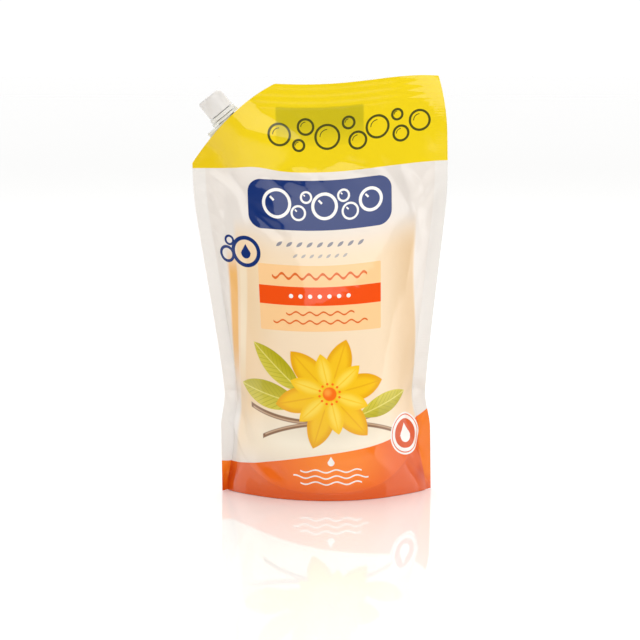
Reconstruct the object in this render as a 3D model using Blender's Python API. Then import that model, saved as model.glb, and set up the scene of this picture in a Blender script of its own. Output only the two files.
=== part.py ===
"""A stand-up refill pouch for liquid soap, with a corner spout and a screw cap.

The filled film pouch is one closed solid. It is lofted from its flat film pattern: each level
of the front and the back panel is an arc whose length stays the film's own width, so the sides
draw in where the soap pushes the panels apart. The spout's boat is welded into the cut corner.
A tamper band sits below the cap, and the cap's thread runs between the turns of the neck's.

Metres, +Z up. The front faces -Y and the spout is at the -X side of the top.
"""

import math

import bmesh
import bpy
import numpy as np

MM = 0.001
DEGREE = math.pi / 180

# Film pattern, measured flat
FILM_WIDTH = 160 * MM
FILM_HEIGHT = 262.5 * MM
SIDE_SEAL = 8 * MM
SEAL_THICKNESS = 0.6 * MM
CUT_WIDTH = 52.8 * MM
CUT_DROP = 51.6 * MM
CUT_BOW = 4 * MM

# How the filled pouch stands
FILL_TOP = 189.5 * MM
FILL_FADE = 7 * MM
FULLEST_HEIGHT = 62 * MM
FULLEST_ANGLE = 71 * DEGREE
BASE_ANGLE = 62.7 * DEGREE
BASE_BLEND = 24 * MM
EDGE_DIP = 5 * MM
EDGE_TILT = 1.8 * DEGREE
LEAN = 1.2 * DEGREE

# Bottom gusset
SKIRT_WALL = 0.7 * MM
SKIRT_HEIGHT = 5 * MM
GUSSET_RISE = 40 * MM
GUSSET_FLAT_LENGTH = 46 * MM
GUSSET_FLAT_WIDTH = 36 * MM
GUSSET_GROOVE_POWER = 2.5
GUSSET_EASE = 0.1 * MM
GUSSET_END_WIDTH = 2.4 * MM

# Spout
SPOUT_PLACE = 0.48
SPOUT_TURN = 5 * DEGREE
BOAT_LENGTH = 31 * MM
BOAT_THICKNESS = 13.4 * MM
BOAT_DEPTH = 12 * MM
BOAT_END = 1.2 * MM
BOAT_STAND = 0.4 * MM
BOAT_RIB = 0.35 * MM
BOAT_RIBS = 4
BOAT_RIB_OUTLINE = ((0, 1), (0.3, 0), (0.6, 0), (0.9, 1))
FLARE_MARGIN = 4 * MM
FLARE_SPREAD = 1 / 3
FLARE_FADE = 44 * MM
FLANGE_LENGTH = 19.6 * MM
FLANGE_WIDTH = 15.4 * MM
FLANGE_THICKNESS = 1.6 * MM
FLANGE_HEIGHT = 1.1 * MM
NECK_DIAMETER = 12.4 * MM
NECK_HEIGHT = 16.4 * MM
BORE_DIAMETER = 10 * MM
MOUTH_ROUND = 0.4 * MM

# Thread
PITCH = 4 * MM
NECK_THREAD_TURNS = 2.0
CAP_THREAD_TURNS = 1.75
THREAD_DEPTH = 0.7 * MM
THREAD_ROOT = 1.5 * MM
THREAD_CREST = 0.8 * MM
THREAD_RUNOUT_STEPS = 3

# Tamper band and the bead that holds it on the neck
BAND_THICKNESS = 1.5 * MM
BAND_LENGTH = 2.5 * MM
BAND_CHAMFER = 0.3 * MM
BEAD_DEPTH = 1.1 * MM
BEAD_LENGTH = 0.9 * MM
BAND_LIP = 0.8 * MM

# Cap
CAP_DIAMETER = 17.1 * MM
CAP_LENGTH = 12.3 * MM
CAP_ROUND = 1.6 * MM
CAP_DRAFT = 0.2 * MM
PLUG_WALL = 1 * MM
PLUG_DEPTH = 2 * MM

# Clearances
MOULDED_GAP = 0.3 * MM
BAND_GAP = 0.4 * MM

# Fineness of the meshes
PANEL_COLUMNS = 32
SEAL_COLUMNS = 2
LOWER_ROWS = 28
UPPER_ROWS = 11
GUSSET_COLUMNS = 26
GUSSET_ROWS = 5
GUSSET_SAMPLES = 200
ROUND_STEPS = 32
BOAT_STEPS = 14
THREAD_STEPS = 24
CORNER_STEPS = 4
SHARP_ANGLE = 30 * DEGREE
MERGE_DISTANCE = 0.0001 * MM

HALF_WIDTH = FILM_WIDTH / 2
HALF_PANEL = HALF_WIDTH - SIDE_SEAL
CUT_FOOT = FILM_HEIGHT - CUT_DROP
PLAIN_ROWS_TOP = CUT_FOOT - SIDE_SEAL
CUT_CHORD = math.hypot(CUT_WIDTH, CUT_DROP)
CUT_ALONG = np.array([CUT_WIDTH, CUT_DROP]) / CUT_CHORD
CUT_OUT = np.array([-CUT_ALONG[1], CUT_ALONG[0]])


def smoothstep(value):
    """Rise smoothly from 0 to 1 while the value goes from 0 to 1."""
    t = np.clip(value, 0, 1)
    return t * t * (3 - 2 * t)


def cut_bow_at(share):
    """How far the cut edge stands out from its chord, at this share of the chord."""
    return CUT_BOW * 4 * share * (1 - share)


def top_of_film(across):
    """Height of the pattern's upper edge at a place across the film, the bowed corner cut included."""
    share = np.clip((across + HALF_WIDTH) / CUT_WIDTH, 0, 1)
    bow = cut_bow_at(share) / CUT_OUT[1]
    return np.minimum(CUT_FOOT + CUT_DROP * share + bow, FILM_HEIGHT)


def base_seal_height(across):
    """Height of the curved seal that joins each panel to the gusset, lowest in the middle."""
    share = np.clip(np.abs(across) / HALF_PANEL, 0, 1)
    return SKIRT_HEIGHT + (GUSSET_RISE - SKIRT_HEIGHT) * share**3


def fill_angle(across, up):
    """Half of the angle that a panel's section turns through at a place of the pattern."""
    above_fullest = FILL_FADE * np.logaddexp(0, (up - FULLEST_HEIGHT) / FILL_FADE)
    head = FILL_TOP - FULLEST_HEIGHT - above_fullest
    head = FILL_FADE * np.logaddexp(0, head / FILL_FADE)
    full = FULLEST_ANGLE * np.sqrt(head / (FILL_TOP - FULLEST_HEIGHT))
    above_seal = smoothstep((up - base_seal_height(across)) / BASE_BLEND)
    return BASE_ANGLE + (full - BASE_ANGLE) * above_seal


def spout_place_in_film():
    """The point of the pattern's cut edge where the spout's axis crosses it."""
    foot = np.array([-HALF_WIDTH, CUT_FOOT])
    return foot + CUT_ALONG * CUT_CHORD * SPOUT_PLACE + CUT_OUT * cut_bow_at(SPOUT_PLACE)


def spout_flare(across, up):
    """How far the boat pushes each panel out at a place of the pattern."""
    place = spout_place_in_film()
    along = (across - place[0]) * CUT_ALONG[0] + (up - place[1]) * CUT_ALONG[1]
    inside = -((across - place[0]) * CUT_OUT[0] + (up - place[1]) * CUT_OUT[1])
    past_boat = np.maximum(inside - BOAT_DEPTH, 0)
    reach = BOAT_LENGTH / 2 + FLARE_MARGIN + past_boat * FLARE_SPREAD
    bulge = BOAT_THICKNESS / 2 + MOULDED_GAP + SEAL_THICKNESS / 2
    eye = np.maximum(1 - (along / reach) ** 2, 0)
    return bulge * eye * (1 - smoothstep(past_boat / FLARE_FADE))


def film_point(across, up, side):
    """Place points of the flat pattern on the standing pouch.

    across and up are arrays in metres, and side is -1 for the front and 1 for the back.
    """
    angle = fill_angle(across, up)
    on_panel = np.clip(across, -HALF_PANEL, HALF_PANEL)
    radius = HALF_PANEL / angle
    turn = angle * on_panel / HALF_PANEL
    body = radius * (np.cos(turn) - np.cos(angle))
    high = smoothstep((up - FULLEST_HEIGHT) / (FILL_TOP - FULLEST_HEIGHT))
    flat_x = radius * np.sin(turn) + across - on_panel
    dip = EDGE_DIP * np.cos(math.pi / 2 * np.clip(across / HALF_WIDTH, -1, 1)) ** 2
    x = flat_x - np.tan(LEAN) * up
    y = side * (SEAL_THICKNESS / 2 + np.hypot(body, spout_flare(across, up)))
    z = up + high * (flat_x * math.tan(EDGE_TILT) - dip)
    return np.stack([x, y, z], axis=-1)


def film_grid():
    """The pattern's grid of (across, up), as rows from the base to the upper edge."""
    seal = np.linspace(0, SIDE_SEAL, SEAL_COLUMNS + 1)
    panel = np.linspace(-HALF_PANEL, HALF_PANEL, PANEL_COLUMNS + 1)
    columns = np.concatenate([seal - HALF_WIDTH, panel[1:-1], HALF_WIDTH - seal[::-1]])
    lower = np.linspace(0, PLAIN_ROWS_TOP, LOWER_ROWS + 1)
    rows = [np.stack([columns, np.full_like(columns, height)], axis=-1) for height in lower]
    top = top_of_film(columns)
    for share in np.linspace(0, 1, UPPER_ROWS + 1)[1:]:
        height = PLAIN_ROWS_TOP + (top - PLAIN_ROWS_TOP) * share
        rows.append(np.stack([columns, height], axis=-1))
    return np.array(rows)


def pack_middle():
    """The x of the middle of the pouch's outline, which the frame's origin takes."""
    grid = film_grid()
    x = film_point(grid[..., 0], grid[..., 1], -1)[..., 0]
    return (x.min() + x.max()) / 2


def material(name, colour, roughness):
    """A Principled material of one colour."""
    made = bpy.data.materials.new(name)
    made.use_nodes = True
    shader = made.node_tree.nodes["Principled BSDF"]
    shader.inputs["Base Color"].default_value = (*colour, 1)
    shader.inputs["Roughness"].default_value = roughness
    shader.inputs["Metallic"].default_value = 0
    return made


def add_object(name, bm, parent=None, skin=None):
    """Make an object of a bmesh. Without a skin it is a helper, which isn't rendered."""
    bmesh.ops.recalc_face_normals(bm, faces=bm.faces)
    mesh = bpy.data.meshes.new(name)
    bm.to_mesh(mesh)
    bm.free()
    made = bpy.data.objects.new(name, mesh)
    bpy.context.scene.collection.objects.link(made)
    made.parent = parent
    if skin:
        mesh.materials.append(skin)
        mesh.shade_smooth()
        mesh.set_sharp_from_angle(angle=SHARP_ANGLE)
    else:
        made.hide_render = True
        made.display_type = "WIRE"
    return made


def add_boolean(target, helper, operation):
    """Join a helper to an object, or cut it from the object."""
    step = target.modifiers.new(helper.name, "BOOLEAN")
    step.operation = operation
    step.solver = "EXACT"
    step.object = helper


def closed_loft(sections):
    """A closed solid through sections that all have as many points, with both ends capped."""
    bm = bmesh.new()
    rings = [[bm.verts.new(point) for point in section] for section in sections]
    count = len(rings[0])
    for near, far in zip(rings, rings[1:]):
        for i in range(count):
            j = (i + 1) % count
            bm.faces.new((near[i], near[j], far[j], far[i]))
    bm.faces.new(reversed(rings[0]))
    bm.faces.new(rings[-1])
    return bm


def turned(profile):
    """A round solid about Z, spun from a closed outline of (radius, height) points."""
    bm = bmesh.new()
    points = [bm.verts.new((radius, 0, height)) for radius, height in profile]
    edges = [bm.edges.new((points[i - 1], points[i])) for i in range(len(points))]
    bmesh.ops.spin(
        bm,
        geom=points + edges,
        cent=(0, 0, 0),
        axis=(0, 0, 1),
        angle=2 * math.pi,
        steps=ROUND_STEPS,
        use_merge=True,
    )
    bmesh.ops.remove_doubles(bm, verts=bm.verts, dist=MERGE_DISTANCE)
    at_axis = [vert for vert in bm.verts if vert.co.xy.length < MERGE_DISTANCE]
    inner = [edge for edge in bm.edges if all(vert in at_axis for vert in edge.verts)]
    bmesh.ops.delete(bm, geom=inner, context="EDGES_FACES")
    return bm


def thread_ridge(root_radius, tip_radius, start, turns):
    """A helical ridge whose ends run out into the wall that carries it."""
    sink = math.copysign(MOULDED_GAP, root_radius - tip_radius)
    steps = round(THREAD_STEPS * turns)
    sections = []
    for step in range(steps + 1):
        turn = 2 * math.pi * step / THREAD_STEPS
        height = start + PITCH * step / THREAD_STEPS
        runout = min(1, (min(step, steps - step) + 0.5) / THREAD_RUNOUT_STEPS)
        tip = root_radius + (tip_radius - root_radius) * runout
        outline = (
            (root_radius + sink, -THREAD_ROOT / 2),
            (tip, -THREAD_CREST / 2),
            (tip, THREAD_CREST / 2),
            (root_radius + sink, THREAD_ROOT / 2),
        )
        sections.append([(r * math.cos(turn), r * math.sin(turn), height + z) for r, z in outline])
    return closed_loft(sections)


def quarter_round(radius, height, size, first, last):
    """Points of a rounded corner about (radius, height), from one angle to another."""
    angles = np.linspace(first, last, CORNER_STEPS + 1)
    return [(radius + size * math.cos(a), height + size * math.sin(a)) for a in angles]


def lens(length, thickness, end, height):
    """An eye-shaped outline in the XY plane, with blunt ends, at one height."""
    xs = np.linspace(-length / 2, length / 2, BOAT_STEPS + 1)
    ys = end / 2 + (thickness - end) / 2 * (1 - (2 * xs / length) ** 2)
    near = [(x, -y, height) for x, y in zip(xs, ys)]
    far = [(x, y, height) for x, y in zip(xs[::-1], ys[::-1])]
    return near + far


def stadium(length, width, height):
    """An outline with round ends in the XY plane, at one height."""
    offset = (length - width) / 2
    turns = np.linspace(-math.pi / 2, math.pi / 2, ROUND_STEPS // 2 + 1)
    right = [(offset + width / 2 * math.cos(a), width / 2 * math.sin(a), height) for a in turns]
    left = [(-x, -y, height) for x, y, _ in right]
    return right + left


def build_pouch(middle, spout_frame):
    """The filled film pouch, with the gusset's recess below and the boat's seat in the cut corner."""
    grid = film_grid()
    rows, columns = grid.shape[:2]
    bm = bmesh.new()
    sides = []
    for side in (-1, 1):
        points = film_point(grid[..., 0], grid[..., 1], side) - np.array([middle, 0, 0])
        sides.append([[bm.verts.new(point) for point in row] for row in points])
    for panel in sides:
        for j in range(rows - 1):
            for i in range(columns - 1):
                bm.faces.new((panel[j][i], panel[j][i + 1], panel[j + 1][i + 1], panel[j + 1][i]))
    front, back = sides
    for j in range(rows - 1):
        for i in (0, columns - 1):
            bm.faces.new((front[j][i], front[j + 1][i], back[j + 1][i], back[j][i]))
    for i in range(columns - 1):
        for j in (0, rows - 1):
            bm.faces.new((front[j][i], front[j][i + 1], back[j][i + 1], back[j][i]))
    pouch = add_object("pouch", bm, skin=material("printed_film", (0.86, 0.72, 0.42), 0.3))
    add_boolean(pouch, build_gusset_recess(middle), "DIFFERENCE")
    seat = closed_loft([
        lens(
            BOAT_LENGTH + 2 * MOULDED_GAP,
            BOAT_THICKNESS + 2 * MOULDED_GAP,
            BOAT_END + 2 * MOULDED_GAP,
            height,
        )
        for height in (-BOAT_DEPTH - MOULDED_GAP, NECK_HEIGHT)
    ])
    add_boolean(pouch, add_object("boat_seat", seat, spout_frame), "DIFFERENCE")
    return pouch


def build_gusset_recess(middle):
    """The hollow below the gusset: a groove inside the skirt that deepens towards the side seals.

    The gusset rests flat on the ground in the middle, where the recess stays below the base.
    """
    across = np.linspace(-HALF_PANEL, 0, GUSSET_SAMPLES)
    outer = film_point(across, np.zeros_like(across), 1)
    reach = abs(np.interp(GUSSET_END_WIDTH / 2, outer[:, 1] - SKIRT_WALL, across))
    flat_reach = GUSSET_FLAT_LENGTH / 2 / reach
    widest = outer[:, 1].max() - SKIRT_WALL
    flat_half = GUSSET_FLAT_WIDTH / 2 / widest
    bend = flat_half**GUSSET_GROOVE_POWER
    outer_rows = np.linspace(flat_half, 1, GUSSET_ROWS + 1)
    inner_rows = np.linspace(-flat_half, flat_half, GUSSET_ROWS)
    across_rows = np.concatenate([-outer_rows[::-1], inner_rows[1:-1], outer_rows])
    sections = []
    for share in np.linspace(-1, 1, GUSSET_COLUMNS + 1):
        place = share * reach
        edge = film_point(np.array(place), np.array(0.0), 1)
        wall_top = base_seal_height(place)
        sunk = (GUSSET_EASE - wall_top * bend) / (1 - bend)
        rise = smoothstep((abs(share) - flat_reach) / (1 - flat_reach))
        crown = sunk + (GUSSET_RISE - sunk) * rise
        half = edge[1] - SKIRT_WALL
        heights = crown + (wall_top - crown) * np.abs(across_rows) ** GUSSET_GROOVE_POWER
        outline = [(y * half, z) for y, z in zip(across_rows, heights)]
        outline += [(half, -SKIRT_HEIGHT), (-half, -SKIRT_HEIGHT)]
        foot = edge[0] - middle
        sections.append([(foot - z * math.tan(LEAN), y, z) for y, z in outline])
    return add_object("gusset_recess", closed_loft(sections))


def build_spout(frame):
    """The welded spout: ribbed boat, flange, retaining bead and threaded neck round an open bore."""
    neck_radius = NECK_DIAMETER / 2
    bore_radius = BORE_DIAMETER / 2
    bead_top = band_start() + BAND_LENGTH
    bead_radius = neck_radius + BEAD_DEPTH
    beyond = MOULDED_GAP
    foot = -BOAT_DEPTH / 2
    profile = [(0, foot), (neck_radius, foot)]
    profile += [(neck_radius, bead_top - BEAD_LENGTH - BEAD_DEPTH / 2)]
    profile += [(bead_radius, bead_top - BEAD_LENGTH), (bead_radius, bead_top - BEAD_LENGTH / 2)]
    profile += [(neck_radius, bead_top), (neck_radius, NECK_HEIGHT - MOUTH_ROUND)]
    profile += [(neck_radius - MOUTH_ROUND, NECK_HEIGHT), (0, NECK_HEIGHT)]
    skin = material("spout_plastic", (0.88, 0.88, 0.85), 0.35)
    spout = add_object("spout", turned(profile), frame, skin)
    add_boolean(spout, add_object("boat", ribbed_boat(), frame), "UNION")
    plate = closed_loft([
        stadium(FLANGE_LENGTH, FLANGE_WIDTH, height)
        for height in (FLANGE_HEIGHT, FLANGE_HEIGHT + FLANGE_THICKNESS)
    ])
    add_boolean(spout, add_object("flange", plate, frame), "UNION")
    ridge = thread_ridge(neck_radius, neck_radius + THREAD_DEPTH, neck_thread_start(), NECK_THREAD_TURNS)
    add_boolean(spout, add_object("neck_thread", ridge, frame), "UNION")
    bore = turned([
        (0, -BOAT_DEPTH - beyond),
        (bore_radius, -BOAT_DEPTH - beyond),
        (bore_radius, NECK_HEIGHT - MOUTH_ROUND),
        (bore_radius + MOUTH_ROUND, NECK_HEIGHT),
        (bore_radius + MOUTH_ROUND, NECK_HEIGHT + beyond),
        (0, NECK_HEIGHT + beyond),
    ])
    add_boolean(spout, add_object("bore", bore, frame), "DIFFERENCE")
    return spout


def ribbed_boat():
    """The boat that the film is welded to, with weld ribs along it."""
    sections = []
    top = BOAT_STAND
    rib_step = BOAT_DEPTH / BOAT_RIBS
    for rib in range(BOAT_RIBS):
        foot = -BOAT_DEPTH + rib * rib_step
        for share, depth in BOAT_RIB_OUTLINE:
            inset = 2 * BOAT_RIB * depth
            height = foot + share * rib_step
            sections.append(lens(BOAT_LENGTH - inset, BOAT_THICKNESS - inset, BOAT_END, height))
    sections.append(lens(BOAT_LENGTH - 2 * BOAT_RIB, BOAT_THICKNESS - 2 * BOAT_RIB, BOAT_END, top))
    return closed_loft(sections)


def band_start():
    """Height of the tamper band's lower edge along the spout's axis."""
    return FLANGE_HEIGHT + FLANGE_THICKNESS + BAND_GAP


def cap_start():
    """Height of the cap's lower edge along the spout's axis."""
    return band_start() + BAND_LENGTH + BAND_GAP


def neck_thread_start():
    """Height of the middle of the neck thread's first section."""
    return cap_start() + THREAD_ROOT


def build_tamper_band(frame):
    """The ring below the cap, with a lip that catches under the neck's bead."""
    bore = NECK_DIAMETER / 2 + BEAD_DEPTH + MOULDED_GAP
    outer = bore + BAND_THICKNESS
    lip = NECK_DIAMETER / 2 + MOULDED_GAP
    low = band_start()
    high = low + BAND_LENGTH
    lip_top = low + BAND_LIP
    edge = BAND_CHAMFER
    profile = [(lip, low), (outer - edge, low), (outer, low + edge), (outer, high - edge)]
    profile += [(outer - edge, high), (bore, high), (bore, lip_top), (lip, lip_top - edge)]
    skin = material("band_plastic", (0.9, 0.9, 0.88), 0.35)
    return add_object("tamper_band", turned(profile), frame, skin)


def build_cap(frame):
    """The screw cap, with an inner thread and a plug that seals the bore."""
    low = cap_start()
    high = low + CAP_LENGTH
    outer = CAP_DIAMETER / 2
    crown = outer - CAP_DRAFT
    inner = NECK_DIAMETER / 2 + THREAD_DEPTH + MOULDED_GAP
    ceiling = NECK_HEIGHT + BAND_GAP
    plug = BORE_DIAMETER / 2 - MOULDED_GAP
    plug_end = NECK_HEIGHT - PLUG_DEPTH
    shoulder = high - CAP_ROUND
    profile = [(inner, low), (outer, low)]
    profile += quarter_round(crown - CAP_ROUND, shoulder, CAP_ROUND, 0, math.pi / 2)
    profile += [(0, high), (0, ceiling)]
    profile += [(plug - PLUG_WALL, ceiling), (plug - PLUG_WALL, plug_end), (plug, plug_end)]
    profile += [(plug, ceiling), (inner, ceiling)]
    cap = add_object("cap", turned(profile), frame, material("cap_plastic", (0.9, 0.88, 0.87), 0.3))
    start = neck_thread_start() + PITCH / 2
    ridge = thread_ridge(inner, inner - THREAD_DEPTH, start, CAP_THREAD_TURNS)
    add_boolean(cap, add_object("cap_thread", ridge, frame), "UNION")
    return cap


def spout_frame_at(middle):
    """An empty on the spout's axis where it leaves the film, with Z along the axis, outwards."""
    place = spout_place_in_film()
    ends = np.array([[-HALF_WIDTH, CUT_FOOT], [CUT_WIDTH - HALF_WIDTH, FILM_HEIGHT]])
    foot, head = film_point(ends[:, 0], ends[:, 1], -1)
    rise = math.atan2(head[2] - foot[2], head[0] - foot[0]) - SPOUT_TURN
    origin = film_point(np.array(place[0]), np.array(place[1]), -1)
    frame = bpy.data.objects.new("spout_axis", None)
    bpy.context.scene.collection.objects.link(frame)
    frame.location = (origin[0] - middle, 0, origin[2])
    frame.rotation_euler = (0, -rise, 0)
    return frame


def main():
    """Clear the scene and build the pouch, the spout, the band and the cap."""
    for old in list(bpy.data.objects):
        bpy.data.objects.remove(old)
    middle = pack_middle()
    frame = spout_frame_at(middle)
    build_pouch(middle, frame)
    build_spout(frame)
    build_tamper_band(frame)
    build_cap(frame)


main()
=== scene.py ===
"""Looks of a hand soap refill pack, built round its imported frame.

The printed film is lofted again from the same flat pattern as the solid pouch, with the folds,
pinches and waves of a filled laminate pouch, and its print is drawn in the pattern's own
millimetres. The spout, the tamper ring and the cap are moulded pieces on the spout's axis.
Metres, +Z up. The front faces -Y and the spout is at the -X side of the top.
"""

from __future__ import annotations

import logging
import math
from dataclasses import dataclass, field
from enum import Enum

import bmesh
import bpy
import numpy as np
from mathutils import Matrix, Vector

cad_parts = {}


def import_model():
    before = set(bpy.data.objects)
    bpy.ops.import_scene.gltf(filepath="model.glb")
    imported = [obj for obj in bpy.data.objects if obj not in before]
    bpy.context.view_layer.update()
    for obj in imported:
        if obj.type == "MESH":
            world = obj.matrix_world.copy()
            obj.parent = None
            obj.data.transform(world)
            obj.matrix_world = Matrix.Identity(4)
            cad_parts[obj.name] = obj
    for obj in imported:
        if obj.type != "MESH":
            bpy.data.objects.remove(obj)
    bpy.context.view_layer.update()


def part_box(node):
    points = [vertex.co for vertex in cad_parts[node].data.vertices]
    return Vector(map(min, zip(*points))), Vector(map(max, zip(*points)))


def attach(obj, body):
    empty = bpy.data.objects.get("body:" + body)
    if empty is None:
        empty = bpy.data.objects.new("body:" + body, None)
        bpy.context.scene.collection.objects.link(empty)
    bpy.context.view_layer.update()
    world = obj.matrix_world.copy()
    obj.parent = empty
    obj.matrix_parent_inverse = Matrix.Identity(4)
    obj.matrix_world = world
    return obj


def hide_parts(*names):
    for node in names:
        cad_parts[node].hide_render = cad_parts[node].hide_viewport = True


LOG = logging.getLogger("refill_pack")
MM = 0.001
FILM_UV = "film_mm"


class Side(Enum):
    """The two printed panels of the pouch, with the sign of their Y."""

    FRONT = -1
    BACK = 1


def linear(colour: str) -> tuple[float, float, float, float]:
    """Turn an sRGB hex colour into linear light.

    Args:
        colour: six hex digits after a #.

    Returns:
        Red, green, blue and an alpha of 1.
    """
    parts = [int(colour[i : i + 2], 16) / 255 for i in (1, 3, 5)]
    light = [c / 12.92 if c <= 0.04045 else ((c + 0.055) / 1.055) ** 2.4 for c in parts]
    return (*light, 1.0)


def smoothstep(value: np.ndarray) -> np.ndarray:
    """Rise smoothly from 0 to 1 while the value goes from 0 to 1."""
    t = np.clip(value, 0, 1)
    return t * t * (3 - 2 * t)


def add_node(
    tree: bpy.types.NodeTree, kind: str, links: dict | None = None, **settings: object
) -> bpy.types.Node:
    """Add a node, set its properties, and fill its inputs.

    Args:
        tree: the node tree that takes the node.
        kind: the node's type.
        links: an output socket or a value for each input, by name or number.
        settings: the node's own properties by name.

    Returns:
        The new node.
    """
    node = tree.nodes.new(kind)
    for name, value in settings.items():
        setattr(node, name, value)
    for key, value in (links or {}).items():
        if isinstance(value, bpy.types.NodeSocket):
            tree.links.new(value, node.inputs[key])
        else:
            node.inputs[key].default_value = value
    return node


class Field:
    """A number that varies over a surface, worked out by Math nodes as it is written in Python."""

    def __init__(self, tree: bpy.types.NodeTree, socket: bpy.types.NodeSocket) -> None:
        """Keep the socket that carries the number."""
        self.tree = tree
        self.socket = socket

    def apply(self, operation: str, *others: Field | float, clamp: bool = False) -> Field:
        """Work out one Math operation on this number and up to two more.

        Args:
            operation: the Math node's operation.
            others: further fields or plain numbers.
            clamp: whether the result is kept between 0 and 1.

        Returns:
            The result.
        """
        links = {0: self.socket}
        for place, other in enumerate(others, 1):
            links[place] = other.socket if isinstance(other, Field) else other
        node = add_node(self.tree, "ShaderNodeMath", links, operation=operation, use_clamp=clamp)
        return Field(self.tree, node.outputs[0])

    def __add__(self, other: Field | float) -> Field:
        """Add a field or a number."""
        return self.apply("ADD", other)

    def __sub__(self, other: Field | float) -> Field:
        """Take away a field or a number."""
        return self.apply("SUBTRACT", other)

    def __mul__(self, other: Field | float) -> Field:
        """Multiply by a field or a number."""
        return self.apply("MULTIPLY", other)

    def __neg__(self) -> Field:
        """Change the sign."""
        return self.apply("MULTIPLY", -1.0)

    def __abs__(self) -> Field:
        """Drop the sign."""
        return self.apply("ABSOLUTE")

    def scaled(self, factor: float, plus: Field | float) -> Field:
        """Multiply by a number, then add a field or a number."""
        return self.apply("MULTIPLY_ADD", factor, plus)

    def least(self, other: Field | float) -> Field:
        """The smaller of two numbers, which joins two outlines."""
        return self.apply("MINIMUM", other)

    def most(self, other: Field | float) -> Field:
        """The larger of two numbers, which keeps what two outlines share."""
        return self.apply("MAXIMUM", other)

    def inside(self, soft: float = 0.12) -> Field:
        """Turn a distance to an outline, in mm, into 1 inside it and 0 outside it.

        Args:
            soft: width of the printed edge in mm.

        Returns:
            The outline's mask.
        """
        return self.apply("MULTIPLY_ADD", -1 / soft, 0.5, clamp=True)

    def rise(self, low: float, high: float) -> Field:
        """Rise smoothly from 0 to 1 between two values, or fall where high is below low.

        Args:
            low: the value that gives 0.
            high: the value that gives 1.

        Returns:
            The share of the way.
        """
        links = {0: self.socket, 1: low, 2: high}
        node = add_node(self.tree, "ShaderNodeMapRange", links, interpolation_type="SMOOTHSTEP")
        return Field(self.tree, node.outputs[0])


def length_of(x: Field, y: Field) -> Field:
    """Length of the vector that two fields make."""
    return (x * x + y * y).apply("SQRT")


def overprint(mask: Field, under: bpy.types.NodeSocket | tuple, colour: str) -> bpy.types.NodeSocket:
    """Lay a colour over another where a mask is 1.

    Args:
        mask: 0 where the under colour stays and 1 where it is covered.
        under: the colour below, as a socket or as linear light.
        colour: the colour on top, as sRGB hex.

    Returns:
        The mixed colour.
    """
    links = {0: mask.socket, 6: under, 7: linear(colour)}
    return add_node(mask.tree, "ShaderNodeMix", links, data_type="RGBA").outputs[2]


def blank_material(name: str) -> tuple[bpy.types.Material, bpy.types.NodeTree, bpy.types.Node]:
    """Start a material.

    Args:
        name: the material's name.

    Returns:
        The material, its node tree and its principled shader.
    """
    made = bpy.data.materials.new(name)
    made.use_nodes = True
    return made, made.node_tree, made.node_tree.nodes["Principled BSDF"]


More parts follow.
